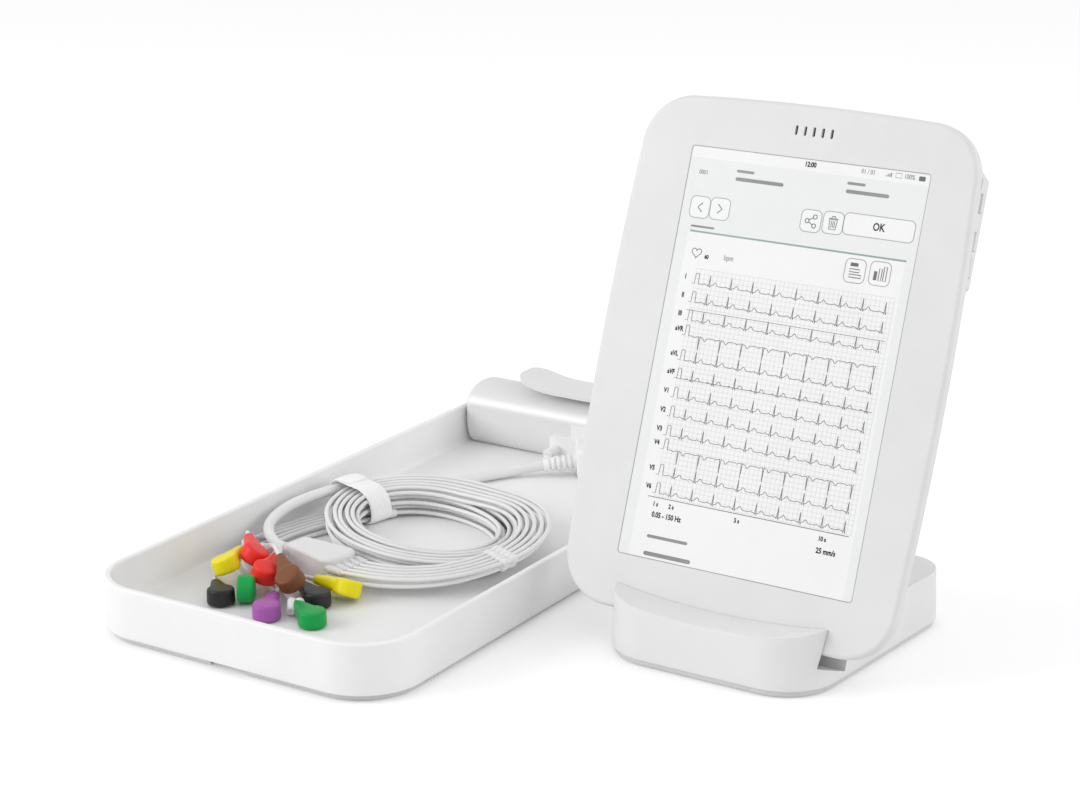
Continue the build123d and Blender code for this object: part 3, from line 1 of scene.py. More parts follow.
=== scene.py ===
from math import cos, exp, pi, radians, sin

import bmesh
import bpy
from mathutils import Matrix, Vector


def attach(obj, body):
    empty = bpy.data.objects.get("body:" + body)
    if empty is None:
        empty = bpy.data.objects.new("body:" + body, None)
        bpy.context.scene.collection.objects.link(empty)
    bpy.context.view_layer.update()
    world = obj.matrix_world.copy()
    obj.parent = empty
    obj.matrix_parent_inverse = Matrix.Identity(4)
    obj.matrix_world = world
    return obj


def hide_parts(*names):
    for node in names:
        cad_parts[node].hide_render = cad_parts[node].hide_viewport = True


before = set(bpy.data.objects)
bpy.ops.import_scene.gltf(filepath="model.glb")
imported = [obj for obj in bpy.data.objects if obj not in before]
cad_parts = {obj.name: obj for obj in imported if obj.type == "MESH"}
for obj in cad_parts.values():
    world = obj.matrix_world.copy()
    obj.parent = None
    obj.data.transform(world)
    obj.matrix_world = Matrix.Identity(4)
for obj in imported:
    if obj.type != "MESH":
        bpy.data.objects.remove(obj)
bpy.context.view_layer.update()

MM = 0.001

# Places shared with the solids, in millimetres from the tray's front left outer corner
CORNER = Vector((-161.15, -175.5, 0.0))
TRAY_FLOOR_Z = 6.0
LEAD_DIAMETER = 1.9
TRUNK_DIAMETER = 5.0
SPLITTER_TAIL = (38.0, 99.7)
SPLITTER_ANGLE = -9.5
SPLITTER_LENGTH = 31.0
SPLITTER_RELIEF = 5.0
TRUNK_END_Z = 12.45
LEAD_EXIT_Z = 12.5
LEAD_RELIEF = 5.0
LEAD_SPREAD = 3.9
CORD_LIFT = 0.3
RING_CENTRE = (68.0, 157.0)
RING_INNER = (32.9, 3.5, -55.0, 3.5, -27.0)
RING_PITCH = (3.55, 0.45, 67.0, 0.35, -70.0)
ROW_RISE = 2.15
LAYER_GAP = 0.4
TIE_ANGLE = 167.0
TIE_LIFT = 1.6
TIE_LIFT_SPAN = 90.0
STEP_DOWN = (257.0, 347.0)
COIL_START = 77.0
COIL_END = 887.0
COIL_STEP = 22.5
SMALL_TURN = 2.0
WAY_IN = (
    (-66.0, 66.0, 12.8, 3.7, 3.4, 0.4),
    (-46.0, 68.0, 14.6, 3.5, 3.0, 0.8),
    (-24.0, 65.0, 17.4, 3.4, 2.6, 1.2),
    (0.0, 57.5, 18.2, 3.4, 2.5, 1.5),
    (26.0, 50.0, 18.2, 3.5, 2.4, 1.7),
    (51.0, 44.5, 18.0, 3.8, 2.3, 1.9),
)
TIE_SPAN = (30.0, 56.7)
TIE_WIDTH = 13.0
TAIL_LEAD_OUT = 8.9
TAIL_LEAD_IN = 6.5
NECK_REACH = 18.0
NECK_SOCKET = 2.0
HEAD_RADIUS = 6.1
HEAD_THICKNESS = 7.2
SNAP_BORE = 1.95
SNAP_RADIUS = 2.9
SNAP_DEPTH = 1.6
CLIPS = {
    "yellow_chest_clip": ((83.0, 77.5, 12.2), (-0.98, 0.05, 0.0), 25.0),
    "brown_chest_clip": ((64.0, 62.0, 17.4), (-0.78, 0.62, 0.22), -30.0),
    "black_chest_clip": ((75.5, 65.6, 9.9), (-0.86, 0.5, 0.0), 0.0),
    "red_chest_clip": ((47.9, 65.6, 15.8), (-0.35, 0.93, 0.05), 20.0),
    "green_chest_clip": ((87.0, 47.0, 9.9), (-0.87, 0.5, 0.0), 0.0),
    "red_clip": ((34.5, 75.5, 18.2), (-0.72, 0.68, 0.1), 30.0),
    "violet_chest_clip": ((66.0, 43.0, 9.9), (-0.45, 0.89, 0.0), 0.0),
    "yellow_clip": ((27.0, 64.5, 16.0), (-0.3, 0.95, 0.0), -20.0),
    "green_clip": ((47.6, 52.6, 12.6), (-0.53, 0.84, -0.22), 90.0),
    "black_clip": ((39.0, 46.0, 9.9), (-0.72, 0.69, -0.06), 0.0),
}
TAILS = (
    ((24.6, 137.0, 7.5), (20.6, 121.0, 7.4), (20.6, 106.0, 7.4), (26.8, 94.0, 7.4), (38.6, 86.8, 7.5),
     (51.0, 81.6, 9.6)),
    ((22.8, 137.0, 10.0), (18.8, 121.0, 9.9), (18.6, 107.6, 10.0), (23.0, 96.4, 10.6), (30.5, 89.6, 14.2),
     (38.5, 83.2, 21.2)),
    ((21.2, 137.0, 7.5), (17.3, 121.0, 7.4), (17.4, 106.0, 7.4), (23.0, 92.6, 7.4), (34.0, 84.6, 7.4),
     (46.0, 80.6, 8.0)),
    ((19.6, 137.0, 10.0), (15.5, 121.0, 9.9), (15.2, 108.0, 10.0), (18.6, 98.4, 12.2), (25.6, 94.8, 14.6),
     (33.0, 93.2, 16.6)),
    ((17.8, 137.0, 7.5), (14.0, 121.0, 7.4), (14.2, 106.0, 7.4), (19.4, 90.6, 7.4), (31.0, 81.4, 7.4),
     (46.0, 76.4, 7.4), (58.4, 66.8, 7.8)),
    ((16.4, 137.0, 10.0), (12.2, 121.0, 9.9), (11.2, 108.4, 10.8), (12.6, 98.8, 15.4)),
    ((14.6, 137.0, 7.5), (10.8, 121.0, 7.4), (11.0, 106.0, 7.4), (15.8, 88.2, 7.4), (28.4, 78.6, 7.4),
     (42.0, 74.0, 7.4), (51.0, 69.2, 8.2)),
    ((13.2, 137.0, 10.0), (9.0, 121.0, 9.9), (7.6, 107.0, 10.6), (10.2, 96.4, 13.0)),
    ((11.4, 137.0, 7.5), (7.6, 121.0, 7.4), (7.8, 106.0, 7.4), (12.2, 86.0, 7.4), (23.4, 76.8, 7.4)),
    ((10.0, 137.0, 10.0), (5.4, 121.0, 9.4), (4.5, 106.0, 7.8), (7.4, 88.6, 7.4), (13.0, 73.6, 7.5)),
)
TRUNK_ROUTE = (
    (53.6, 251.4, 8.9), (47.6, 241.8, 8.9), (42.4, 230.6, 9.0), (36.6, 219.0, 9.4), (30.6, 208.0, 10.6),
    (25.0, 197.4, 12.8), (20.4, 187.0, 15.6), (17.0, 176.0, 18.0), (15.2, 164.5, 19.2), (13.0, 153.2, 19.8),
    (10.9, 142.6, 19.6), (9.5, 133.6, 18.9), (9.4, 125.2, 17.8), (10.8, 116.9, 16.6), (14.6, 109.9, 15.5),
    (20.1, 104.8, 14.3),
)
TRUNK_LEAD_OUT = 6.5
PLUG_PLACE = (77.6, 284.0, 13.5)
HOOD_SLANT = ((-6.0, 3.0), (4.15, 17.0))
RELIEF_SHARE = 0.72
RELIEF_DIP = 7.0
RELIEF_LENGTH = 16.2

# The tablet's lower front corner line and its lean
TABLET_FOOT = Vector((83.15, -65.9, 16.7)) * MM
TABLET_TILT = radians(20.0)
TABLET_ACROSS = Vector((1.0, 0.0, 0.0))
TABLET_UP = Vector((0.0, sin(TABLET_TILT), cos(TABLET_TILT)))
TABLET_BACK = Vector((0.0, cos(TABLET_TILT), -sin(TABLET_TILT)))
SCREEN_LEFT = -51.35
SCREEN_BOTTOM = 22.7
SCREEN_WIDTH = 107.7
SCREEN_HEIGHT = 172.3
GLASS_FACE = 0.15


def from_corner(point):
    """A place given in millimetres from the tray's corner, in metres."""
    return (CORNER + Vector(point)) * MM


# Finishes

NOISE_LOW = 0.3
NOISE_HIGH = 0.7
ROUGH_SWING = 0.06


def set_inputs(node, values):
    """Set a shader node's own sockets by their names."""
    for name, value in values.items():
        node.inputs[name].default_value = value


def colour_by(noise, nodes, links, dark, light, low=0.0, high=1.0):
    """Colour a surface from dark to light by a noise."""
    ramp = nodes.new("ShaderNodeValToRGB")
    for stop, place, tone in zip(ramp.color_ramp.elements, (low, high), (dark, light)):
        stop.position = place
        stop.color = (*tone, 1.0)
    links.new(noise.outputs["Fac"], ramp.inputs["Fac"])
    links.new(ramp.outputs["Color"], nodes["Principled BSDF"].inputs["Base Color"])


def finish_of(name, dark, light, rough, mottle=45.0, grain=2200.0, relief=0.00002, metal=0.0, coat=0.0,
              stretch=(1.0, 1.0, 1.0), shine=0.5):
    """A surface with a slow mottling in its colour and a fine grain in its roughness and relief."""
    made = bpy.data.materials.new(name)
    made.use_nodes = True
    nodes = made.node_tree.nodes
    links = made.node_tree.links
    shader = nodes["Principled BSDF"]
    place = nodes.new("ShaderNodeTexCoord")
    scale = nodes.new("ShaderNodeMapping")
    set_inputs(scale, {"Scale": stretch})
    links.new(place.outputs["Object"], scale.inputs["Vector"])
    slow = nodes.new("ShaderNodeTexNoise")
    set_inputs(slow, {"Scale": mottle, "Detail": 5.0})
    fine = nodes.new("ShaderNodeTexNoise")
    set_inputs(fine, {"Scale": grain, "Detail": 3.0})
    for noise in (slow, fine):
        links.new(scale.outputs["Vector"], noise.inputs["Vector"])
    colour_by(slow, nodes, links, dark, light, NOISE_LOW, NOISE_HIGH)
    spread = nodes.new("ShaderNodeMapRange")
    set_inputs(spread, {"From Min": NOISE_LOW, "From Max": NOISE_HIGH,
                        "To Min": max(rough - ROUGH_SWING, 0.02), "To Max": min(rough + ROUGH_SWING, 1.0)})
    links.new(fine.outputs["Fac"], spread.inputs["Value"])
    links.new(spread.outputs["Result"], shader.inputs["Roughness"])
    bump = nodes.new("ShaderNodeBump")
    set_inputs(bump, {"Strength": 0.6, "Distance": relief})
    links.new(fine.outputs["Fac"], bump.inputs["Height"])
    links.new(bump.outputs["Normal"], shader.inputs["Normal"])
    set_inputs(shader, {"Metallic": metal, "Coat Weight": coat, "Specular IOR Level": shine})
    return made


def grey(level):
    return (level, level, level)


# The tablet's housing, the dock and the tray share one white plastic, set at three levels as painted light
# and shade. Against the dock's white, the housing's white is darkened as painted shade and the tray's is
# lightened as painted light for the light the floor throws back on it.
WHITE = finish_of("white housing", grey(0.7), grey(0.725), 0.45, relief=0.000008, shine=0.4)
DOCK_WHITE = finish_of("dock white", grey(0.76), grey(0.785), 0.45, relief=0.000008, shine=0.4)
TRAY_WHITE = finish_of("tray white", grey(0.84), grey(0.865), 0.5, relief=0.000008, shine=0.4)
BUTTON = finish_of("button grey", grey(0.66), grey(0.7), 0.45)
BASE = finish_of("base grey", grey(0.63), grey(0.68), 0.5)
RUBBER = finish_of("foot rubber", grey(0.06), grey(0.09), 0.8, relief=0.00005)
RECORDER = finish_of("recorder pearl", grey(0.76), grey(0.78), 0.48, relief=0.000002, metal=0.2)
PLUG = finish_of("plug white", grey(0.84), grey(0.88), 0.45)
SPLITTER = finish_of("splitter white", grey(0.73), grey(0.77), 0.38, relief=0.000006, coat=0.1)
JACKET = finish_of("cable jacket", grey(0.74), grey(0.8), 0.42, mottle=30.0, grain=1400.0, relief=0.00001)
SLEEVE = finish_of("sleeve white", grey(0.76), grey(0.81), 0.5)
FELT = finish_of("strap felt", grey(0.86), grey(0.9), 0.95, mottle=500.0, grain=2600.0, relief=0.00015,
                 shine=0.2)
STEEL = finish_of("screw steel", grey(0.5), grey(0.62), 0.3, metal=1.0, stretch=(1.0, 6.0, 1.0))
BRASS = finish_of("contact metal", (0.72, 0.5, 0.2), (0.82, 0.62, 0.3), 0.25, metal=1.0)
BALLAST = finish_of("ballast iron", grey(0.08), grey(0.14), 0.6, relief=0.0001)
BOARD = finish_of("circuit board", (0.01, 0.08, 0.03), (0.02, 0.12, 0.05), 0.35, mottle=300.0)
CELL = finish_of("cell wrap", (0.03, 0.035, 0.045), (0.05, 0.055, 0.07), 0.5)
DARK = finish_of("dark plastic", grey(0.012), grey(0.022), 0.55)
ALLOY = finish_of("inner frame", grey(0.42), grey(0.52), 0.4, metal=1.0)
PANEL = finish_of("display panel", grey(0.6), grey(0.66), 0.3)
SCREEN = finish_of("screen glass", (0.72, 0.75, 0.74), (0.75, 0.78, 0.77), 0.3, relief=0.000001, shine=0.3)
PAGE = finish_of("screen page", grey(0.84), grey(0.86), 0.5, relief=0.000001, shine=0.1)
HEADER = finish_of("screen header", (0.785, 0.8, 0.795), (0.8, 0.815, 0.81), 0.5, relief=0.000001, shine=0.1)
EDGE_STRIP = finish_of("screen side strip", (0.785, 0.8, 0.795), (0.8, 0.815, 0.81), 0.5, relief=0.000001,
                       shine=0.1)
OUTLINE = finish_of("screen outline", (0.3, 0.32, 0.31), (0.37, 0.39, 0.38), 0.3, relief=0.000001)
RULE = finish_of("screen rule", (0.2, 0.29, 0.23), (0.25, 0.34, 0.28), 0.3, relief=0.000001)
GRID = finish_of("screen grid", (0.64, 0.66, 0.65), (0.69, 0.71, 0.7), 0.4, relief=0.000001, shine=0.1)
TRACE = finish_of("screen trace", (0.13, 0.14, 0.135), (0.19, 0.2, 0.195), 0.4, relief=0.000001, shine=0.1)
INK = finish_of("screen ink", grey(0.01), grey(0.03), 0.4, relief=0.000001, shine=0.1)
FAINT = finish_of("screen faint ink", grey(0.24), grey(0.32), 0.4, relief=0.000001, shine=0.1)

CLIP_FINISHES = {
    "yellow": finish_of("yellow plastic", (0.8, 0.68, 0.002), (0.88, 0.77, 0.006), 0.38, shine=0.3),
    "red": finish_of("red plastic", (0.8, 0.022, 0.016), (0.88, 0.038, 0.026), 0.38, shine=0.3),
    "green": finish_of("green plastic", (0.001, 0.29, 0.05), (0.002, 0.36, 0.07), 0.38, shine=0.3),
    "black": finish_of("black plastic", grey(0.012), grey(0.026), 0.4, shine=0.35),
    "brown": finish_of("brown plastic", (0.17, 0.06, 0.02), (0.22, 0.08, 0.03), 0.4, shine=0.3),
    "violet": finish_of("violet plastic", (0.34, 0.085, 0.36), (0.41, 0.115, 0.43), 0.38, shine=0.3),
}

NODE_FINISHES = (
    (TRAY_WHITE, "tray_shell"), (WHITE, "front_bezel rear_cover"), (DOCK_WHITE, "dock_shell"),
    (BUTTON, "power_button volume_up_button volume_down_button"), (BASE, "tray_base dock_base"),
    (RUBBER, "tray_feet dock_feet cradle_pad"), (SCREEN, "touch_glass"), (PANEL, "display_panel"),
    (ALLOY, "mid_frame"), (CELL, "battery recorder_battery"), (BOARD, "mainboard dock_board recorder_board"),
    (DARK, "speaker contact_block power_socket"), (BRASS, "contact_pads contact_pins plug_insert"),
    (STEEL, "rear_screws dock_screws"), (BALLAST, "ballast_plate"),
    (RECORDER, "recorder_case recorder_end_caps clip_bracket belt_clip"),
    (PLUG, "lead_socket plug_hood thumbscrew_left thumbscrew_right plug_relief"),
    (SPLITTER, "splitter_top splitter_base"),
)
for node_finish, node_names in NODE_FINISHES:
    for node_name in node_names.split():
        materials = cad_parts[node_name].data.materials
        if len(materials):
            for index in range(len(materials)):
                materials[index] = node_finish
        else:
            materials.append(node_finish)


# Shapes

def shown(name, data):
    """A new object in the scene."""
    made = bpy.data.objects.new(name, data)
    bpy.context.scene.collection.objects.link(made)
    return made


def add_piece(name, data, finish, body, replaced=()):
    """Show a piece, give it its finish and let it move with a body."""
    piece = shown(name, data)
    data.materials.append(finish)
    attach(piece, body)
    if replaced:
        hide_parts(*replaced)
    return piece


def mesh_from(name, build, smooth=True):
    """A mesh drawn by a function that is given an empty one."""
    drawing = bmesh.new()
    build(drawing)
    bmesh.ops.recalc_face_normals(drawing, faces=drawing.faces)
    mesh = bpy.data.meshes.new(name)
    drawing.to_mesh(mesh)
    drawing.free()
    for face in mesh.polygons:
        face.use_smooth = smooth
    return mesh


def lead_piece(name, draw, finish, replaced=()):
    """A drawn piece that moves with the recorder and its leads."""
    return add_piece(name, mesh_from(name, draw), finish, "ecg_set", replaced)


def skin_rings(drawing, rings, closed_loop=False):
    """Faces between rings of equally many points, and over both ends unless these join."""
    rows = [[drawing.verts.new(point) for point in ring] for ring in rings]
    pairs = list(zip(rows, rows[1:]))
    if closed_loop:
        pairs.append((rows[-1], rows[0]))
    for one, other in pairs:
        for number in range(len(one)):
            after = (number + 1) % len(one)
            drawing.faces.new((one[number], one[after], other[after], other[number]))
    if not closed_loop:
        drawing.faces.new(rows[0])
        drawing.faces.new(rows[-1][::-1])


def axes_for(heading):
    """Two directions square to a heading."""
    along = Vector(heading).normalized()
    rough_up = Vector((0.0, 0.0, 1.0)) if abs(along.z) < 0.9 else Vector((1.0, 0.0, 0.0))
    side = along.cross(rough_up).normalized()
    return along, side, side.cross(along)


def turned(drawing, start, heading, profile, steps=32):
    """A turned shape: its profile holds millimetres along the axis and the radius there."""
    along, side, up = axes_for(heading)
    rings = []
    for reach, radius in profile:
        middle = start + along * (reach * MM)
        rings.append([middle + (side * cos(2 * pi * step / steps) + up * sin(2 * pi * step / steps))
                      * (radius * MM) for step in range(steps)])
    skin_rings(drawing, rings)


def ribbed_profile(length, root, tip, groove, ribs):
    """The profile of a ribbed, tapering sleeve."""
    points = [(0.0, root)]
    pitch = length / (ribs + 0.5)
    for rib in range(ribs):
        share = rib / max(ribs - 1, 1)
        radius = root + (tip - root) * share
        start = rib * pitch
        points += [(start + 0.08 * pitch, radius), (start + 0.5 * pitch, radius),
                   (start + 0.62 * pitch, radius - groove), (start + 0.95 * pitch, radius - groove)]
    points += [(ribs * pitch + 0.05 * pitch, tip), (length - 0.15, tip), (length, tip - 0.15)]
    return points


def cord_curve(name, points, diameter):
    """A round cord along a smooth line that its points pull on."""
    data = bpy.data.curves.new(name, "CURVE")
    data.dimensions = "3D"
    data.bevel_depth = diameter * MM / 2
    data.bevel_resolution = 5
    data.resolution_u = 6
    data.use_fill_caps = True
    line = data.splines.new("NURBS")
    line.points.add(len(points) - 1)
    for spot, point in zip(line.points, points):
        spot.co = (*point, 1.0)
    line.order_u = 3
    line.use_endpoint_u = True
    line.use_smooth = True
    return data


# Trunk cable

def splitter_frame():
    start = from_corner((*SPLITTER_TAIL, 0.0))
    heading = Vector((cos(radians(SPLITTER_ANGLE)), sin(radians(SPLITTER_ANGLE)), 0.0))
    return start, heading


def relief_tip():
    """Where the trunk leaves the plug's sleeve, and its heading there."""
    (near_x, near_y), (far_x, far_y) = HOOD_SLANT
    slant = Vector((far_x - near_x, near_y - far_y, 0.0))
    along = slant.normalized()
    outward = Vector((along.y, -along.x, 0.0))
    dip = radians(RELIEF_DIP)
    heading = (outward * cos(dip) + Vector((0.0, 0.0, -sin(dip)))).normalized()
    root = Vector((near_x, -near_y, 0.0)) + along * (slant.length * RELIEF_SHARE)
    return from_corner(Vector(PLUG_PLACE) + root + heading * RELIEF_LENGTH), heading


trunk_start, trunk_heading = relief_tip()
splitter_start, splitter_way = splitter_frame()
trunk_end = splitter_start + Vector((0.0, 0.0, TRUNK_END_Z * MM)) - splitter_way * (SPLITTER_RELIEF * MM)
trunk_points = [trunk_start, trunk_start + trunk_heading * (TRUNK_LEAD_OUT * MM)]
trunk_points += [from_corner(point) for point in TRUNK_ROUTE]
trunk_points += [trunk_end - splitter_way * (TRUNK_LEAD_OUT * MM), trunk_end]
trunk = add_piece("trunk_line", cord_curve("trunk_line", trunk_points, TRUNK_DIAMETER), JACKET, "ecg_set",
                  ("trunk_cable",))


def draw_splitter_sleeve(drawing):
    start = trunk_end + splitter_way * (SPLITTER_RELIEF * MM)
    ribs = ribbed_profile(length=6.6, root=3.9, tip=3.0, groove=0.7, ribs=3)
    turned(drawing, start, -splitter_way, ribs, 40)


splitter_sleeve = lead_piece("splitter_sleeve", draw_splitter_sleeve, SLEEVE,
                             ("splitter_relief",))


# Lead wires

def lead_exit(column, row):
    across = Vector((splitter_way.y, -splitter_way.x, 0.0))
    reach = (SPLITTER_LENGTH + LEAD_RELIEF) * MM
    side = (column - 2) * LEAD_SPREAD * MM
    height = (LEAD_EXIT_Z + (row - 0.5) * LEAD_SPREAD) * MM
    return splitter_start + splitter_way * reach + across * side + Vector((0.0, 0.0, height))


def wave(values, angle):
    mean, swell, crest, double_swell, double_crest = values
    return (mean + swell * cos(radians(angle - crest))
            + double_swell * cos(radians(2 * (angle - double_crest))))


def layers_above_floor(angle):
    first, last = STEP_DOWN
    rows = 4.0
    for turn in range(2):
        share = min(max((angle - 360 * turn - first) / (last - first), 0.0), 1.0)
        rows -= 1.0 - cos(radians(180 * share))
    return rows


def tie_lift(angle):
    away = abs((angle - TIE_ANGLE + 180) % 360 - 180)
    return TIE_LIFT * cos(radians(90 * min(away / TIE_LIFT_SPAN, 1.0))) ** 2


def ring_point(radius, angle, height):
    x, y = RING_CENTRE
    return from_corner((x + radius * cos(radians(angle)), y + radius * sin(radians(angle)), height))


def coil_spot(column, row, angle, stretch=1.0, drift=0.0):
    """A lead's place in the coil; the stretch keeps a line pulled by spots on the coil's own curve."""
    pitch = wave(RING_PITCH, angle)
    rows = layers_above_floor(angle)
    radius = wave(RING_INNER, angle) + pitch * (column + 0.5 * row) + drift
    height = (TRAY_FLOOR_Z + CORD_LIFT + LEAD_DIAMETER / 2 + ROW_RISE * (rows + row)
              + LAYER_GAP * rows / 2 + tie_lift(angle))
    return ring_point(radius * stretch, angle, height)


def drift_of(lead, angle):
    """How far a lead strays sideways from its lane, none at its ends and little under the strap."""
    middle = (angle - COIL_START) / (COIL_END - COIL_START)
    calm = min(1.0, 6 * middle, 6 * (1 - middle)) * (1 - 0.6 * tie_lift(angle) / TIE_LIFT)
    turn = radians(angle)
    return 0.5 * calm * (sin(1.3 * turn + 1.7 * lead) + 0.7 * sin(2.9 * turn + 2.3 * lead * lead))


def way_in_spot(column, row, knot):
    angle, middle, height, pitch, rise, lean = knot
    radius = middle + (column - 2) * pitch + (row - 0.5) * lean
    return ring_point(radius, angle, height + (row - 0.5) * rise)


def clip_axes(node):
    """A clip's middle and its directions: to the wire, sideways and out of its flat face."""
    head, towards_wire, roll = CLIPS[node]
    along = Vector(towards_wire).normalized()
    up = Vector((0.0, 0.0, 1.0))
    face = (up - along * up.dot(along)).normalized()
    rolled = face * cos(radians(roll)) + along.cross(face) * sin(radians(roll))
    return from_corner(head), along, rolled.cross(along), rolled


def lead_points(lead, node, column, row):
    """The spots that pull on one lead, from its sleeve to its clip."""
    exit_point = lead_exit(column, row)
    points = [exit_point, exit_point + splitter_way * (LEAD_DIAMETER * MM)]
    points += [way_in_spot(column, row, knot) for knot in WAY_IN]
    stretch = 1 / cos(radians(COIL_STEP / 2))
    steps = round((COIL_END - COIL_START) / COIL_STEP)
    for step in range(steps):
        angle = COIL_START + COIL_STEP * (step + 0.5)
        points.append(coil_spot(column, row, angle, stretch, drift_of(lead, angle)))
    end = coil_spot(column, row, COIL_END)
    before, after = (coil_spot(column, row, COIL_END + turn) for turn in (-SMALL_TURN, SMALL_TURN))
    heading = (after - before).normalized()
    points.append(end + heading * (TAIL_LEAD_OUT * MM))
    points += [from_corner(point) for point in TAILS[lead]]
    head, along, _, _ = clip_axes(node)
    points += [head + along * (reach * MM) for reach in (NECK_REACH + TAIL_LEAD_IN, NECK_REACH - NECK_SOCKET)]
    return points


LEAD_SLEEVE_ROOT = 3.4
LEAD_ROOT_RADIUS = 1.45
LEAD_SLEEVE_LENGTH = LEAD_RELIEF + 0.9


def draw_lead_sleeves(drawing):
    """Ten ribbed sleeves on the splitter, each with a plain root that reaches into its rounded end."""
    for lead in range(10):
        end = lead_exit(lead // 2, lead % 2)
        start = end - splitter_way * (LEAD_RELIEF * MM)
        root = start - splitter_way * (LEAD_SLEEVE_ROOT * MM)
        ribs = ribbed_profile(LEAD_SLEEVE_LENGTH, root=1.85, tip=1.5, groove=0.42, ribs=4)
        turned(drawing, start, splitter_way, ribs, 24)
        plain = [(reach, LEAD_ROOT_RADIUS) for reach in (0.0, LEAD_SLEEVE_ROOT + 0.1)]
        turned(drawing, root, splitter_way, plain, 24)


lead_sleeves = lead_piece("lead_sleeves", draw_lead_sleeves, SLEEVE, ("lead_reliefs",))


# Lead clips

def clip_matrix(node):
    head, along, side, face = clip_axes(node)
    frame_axes = Matrix((along, side, face)).transposed().to_4x4()
    frame_axes.translation = head
    return frame_axes


def oval_ring(x, half_wide, half_tall, power, steps=40):
    """A ring across the clip: from a flattened box to an oval as its power falls to two."""
    ring = []
    for step in range(steps):
        turn = 2 * pi * step / steps
        wide, tall = cos(turn), sin(turn)
        wide = half_wide * (abs(wide) ** (2 / power)) * (1 if wide >= 0 else -1)
        tall = half_tall * (abs(tall) ** (2 / power)) * (1 if tall >= 0 else -1)
        ring.append(Vector((x, wide, tall)) * MM)
    return ring


def round_rings(profile, steps):
    """Rings round the clip's middle from heights and radii in millimetres."""
    turns = [2 * pi * step / steps for step in range(steps)]
    return [[Vector((radius * cos(turn), radius * sin(turn), height)) * MM for turn in turns]
            for height, radius in profile]


# Rings along the clip's neck: distance from its middle, half width, half thickness and squareness
CLIP_NECK = (
    (1.0, 5.2, 3.3, 3.4), (4.0, 5.0, 3.3, 3.4), (6.5, 4.3, 3.2, 3.2), (9.0, 3.65, 3.0, 3.0),
    (12.0, 3.1, 2.7, 2.7), (15.0, 2.65, 2.4, 2.4), (17.4, 2.35, 2.15, 2.2), (18.0, 1.9, 1.8, 2.0),
)


def draw_clip(drawing):
    """A snap clip in its own frame: a thick round head with a soft brim and a flattened, tapering neck."""
    half = HEAD_THICKNESS / 2
    profile = [(-half, 0.6), (-half, HEAD_RADIUS - 1.1), (-half + 0.25, HEAD_RADIUS - 0.4),
               (-half + 0.8, HEAD_RADIUS - 0.05), (-half + 1.6, HEAD_RADIUS), (half - 1.6, HEAD_RADIUS - 0.1),
               (half - 0.8, HEAD_RADIUS - 0.2), (half - 0.2, HEAD_RADIUS - 0.6),
               (half - 0.02, HEAD_RADIUS - 1.4), (half + 0.08, HEAD_RADIUS - 3.0), (half + 0.1, 0.6)]
    skin_rings(drawing, round_rings(profile, 64))
    skin_rings(drawing, [oval_ring(*neck) for neck in CLIP_NECK])


def draw_socket(drawing):
    """The snap's metal ring, open towards the skin."""
    low = -HEAD_THICKNESS / 2 - 0.05
    profile = ((low + SNAP_DEPTH, SNAP_BORE), (low, SNAP_BORE), (low - 0.1, SNAP_BORE + 0.25),
               (low - 0.1, SNAP_RADIUS - 0.15), (low, SNAP_RADIUS), (low + SNAP_DEPTH, SNAP_RADIUS))
    skin_rings(drawing, round_rings(profile, 40), closed_loop=True)


def moulded(piece, grain, passes):
    """Melt a piece's parts into one skin with soft corners."""
    melt = piece.modifiers.new("melt", "REMESH")
    melt.mode = "VOXEL"
    melt.voxel_size = grain * MM
    melt.use_smooth_shade = True
    soften = piece.modifiers.new("soften", "SMOOTH")
    soften.factor = 0.5
    soften.iterations = passes


lead_pieces = []
for lead, node in enumerate(CLIPS):
    colour = node.split("_")[0]
    line_name = node.replace("clip", "lead_wire")
    points = lead_points(lead, node, lead // 2, lead % 2)
    wire = add_piece(line_name, cord_curve(line_name, points, LEAD_DIAMETER), JACKET, "ecg_set",
                     ("lead_coils", "lead_tails"))
    clip_mesh = mesh_from(node + "_head", draw_clip)
    clip_mesh.transform(clip_matrix(node))
    clip = add_piece(node + "_head", clip_mesh, CLIP_FINISHES[colour], "ecg_set",
                     (node,))
    moulded(clip, grain=0.28, passes=5)
    ring_mesh = mesh_from(node + "_snap_ring", draw_socket)
    ring_mesh.transform(clip_matrix(node))
    ring = add_piece(node + "_snap_ring", ring_mesh, STEEL, "ecg_set", ("clip_sockets",))
    lead_pieces.append((wire, clip, ring))


# Small combs that keep the leads apart, and a ferrule

def line_spot(points, place):
    """A spot on the line that three neighbouring points pull on, and its heading there."""
    before, here, after = points[place - 1:place + 2]
    return (before + here * 6 + after) / 8, (after - before).normalized()


def barrel_profile(length, radius):
    return [(0.0, radius - 0.5), (0.0, radius - 0.15), (0.25, radius), (length * 0.3, radius),
            (length * 0.34, radius - 0.28), (length * 0.66, radius - 0.28), (length * 0.7, radius),
            (length - 0.25, radius), (length, radius - 0.15), (length, radius - 0.5)]


def draw_web(drawing, one, other, along, length, thick):
    """A thin bridge between two barrels."""
    across = (other - one).normalized()
    normal = across.cross(along).normalized() * (thick * MM / 2)
    corners = []
    for middle in (one, other):
        start = middle + along * (length * 0.2 * MM)
        end = middle + along * (length * 0.8 * MM)
        corners.append([start - normal, start + normal, end + normal, end - normal])
    skin_rings(drawing, corners)


COMB_PLACE = 4
COMB_LENGTH = 8.0
COMB_RADIUS = 1.72
COMB_WEB = 1.0
FERRULE_PLACE = 43
FERRULE_LENGTH = 9.0


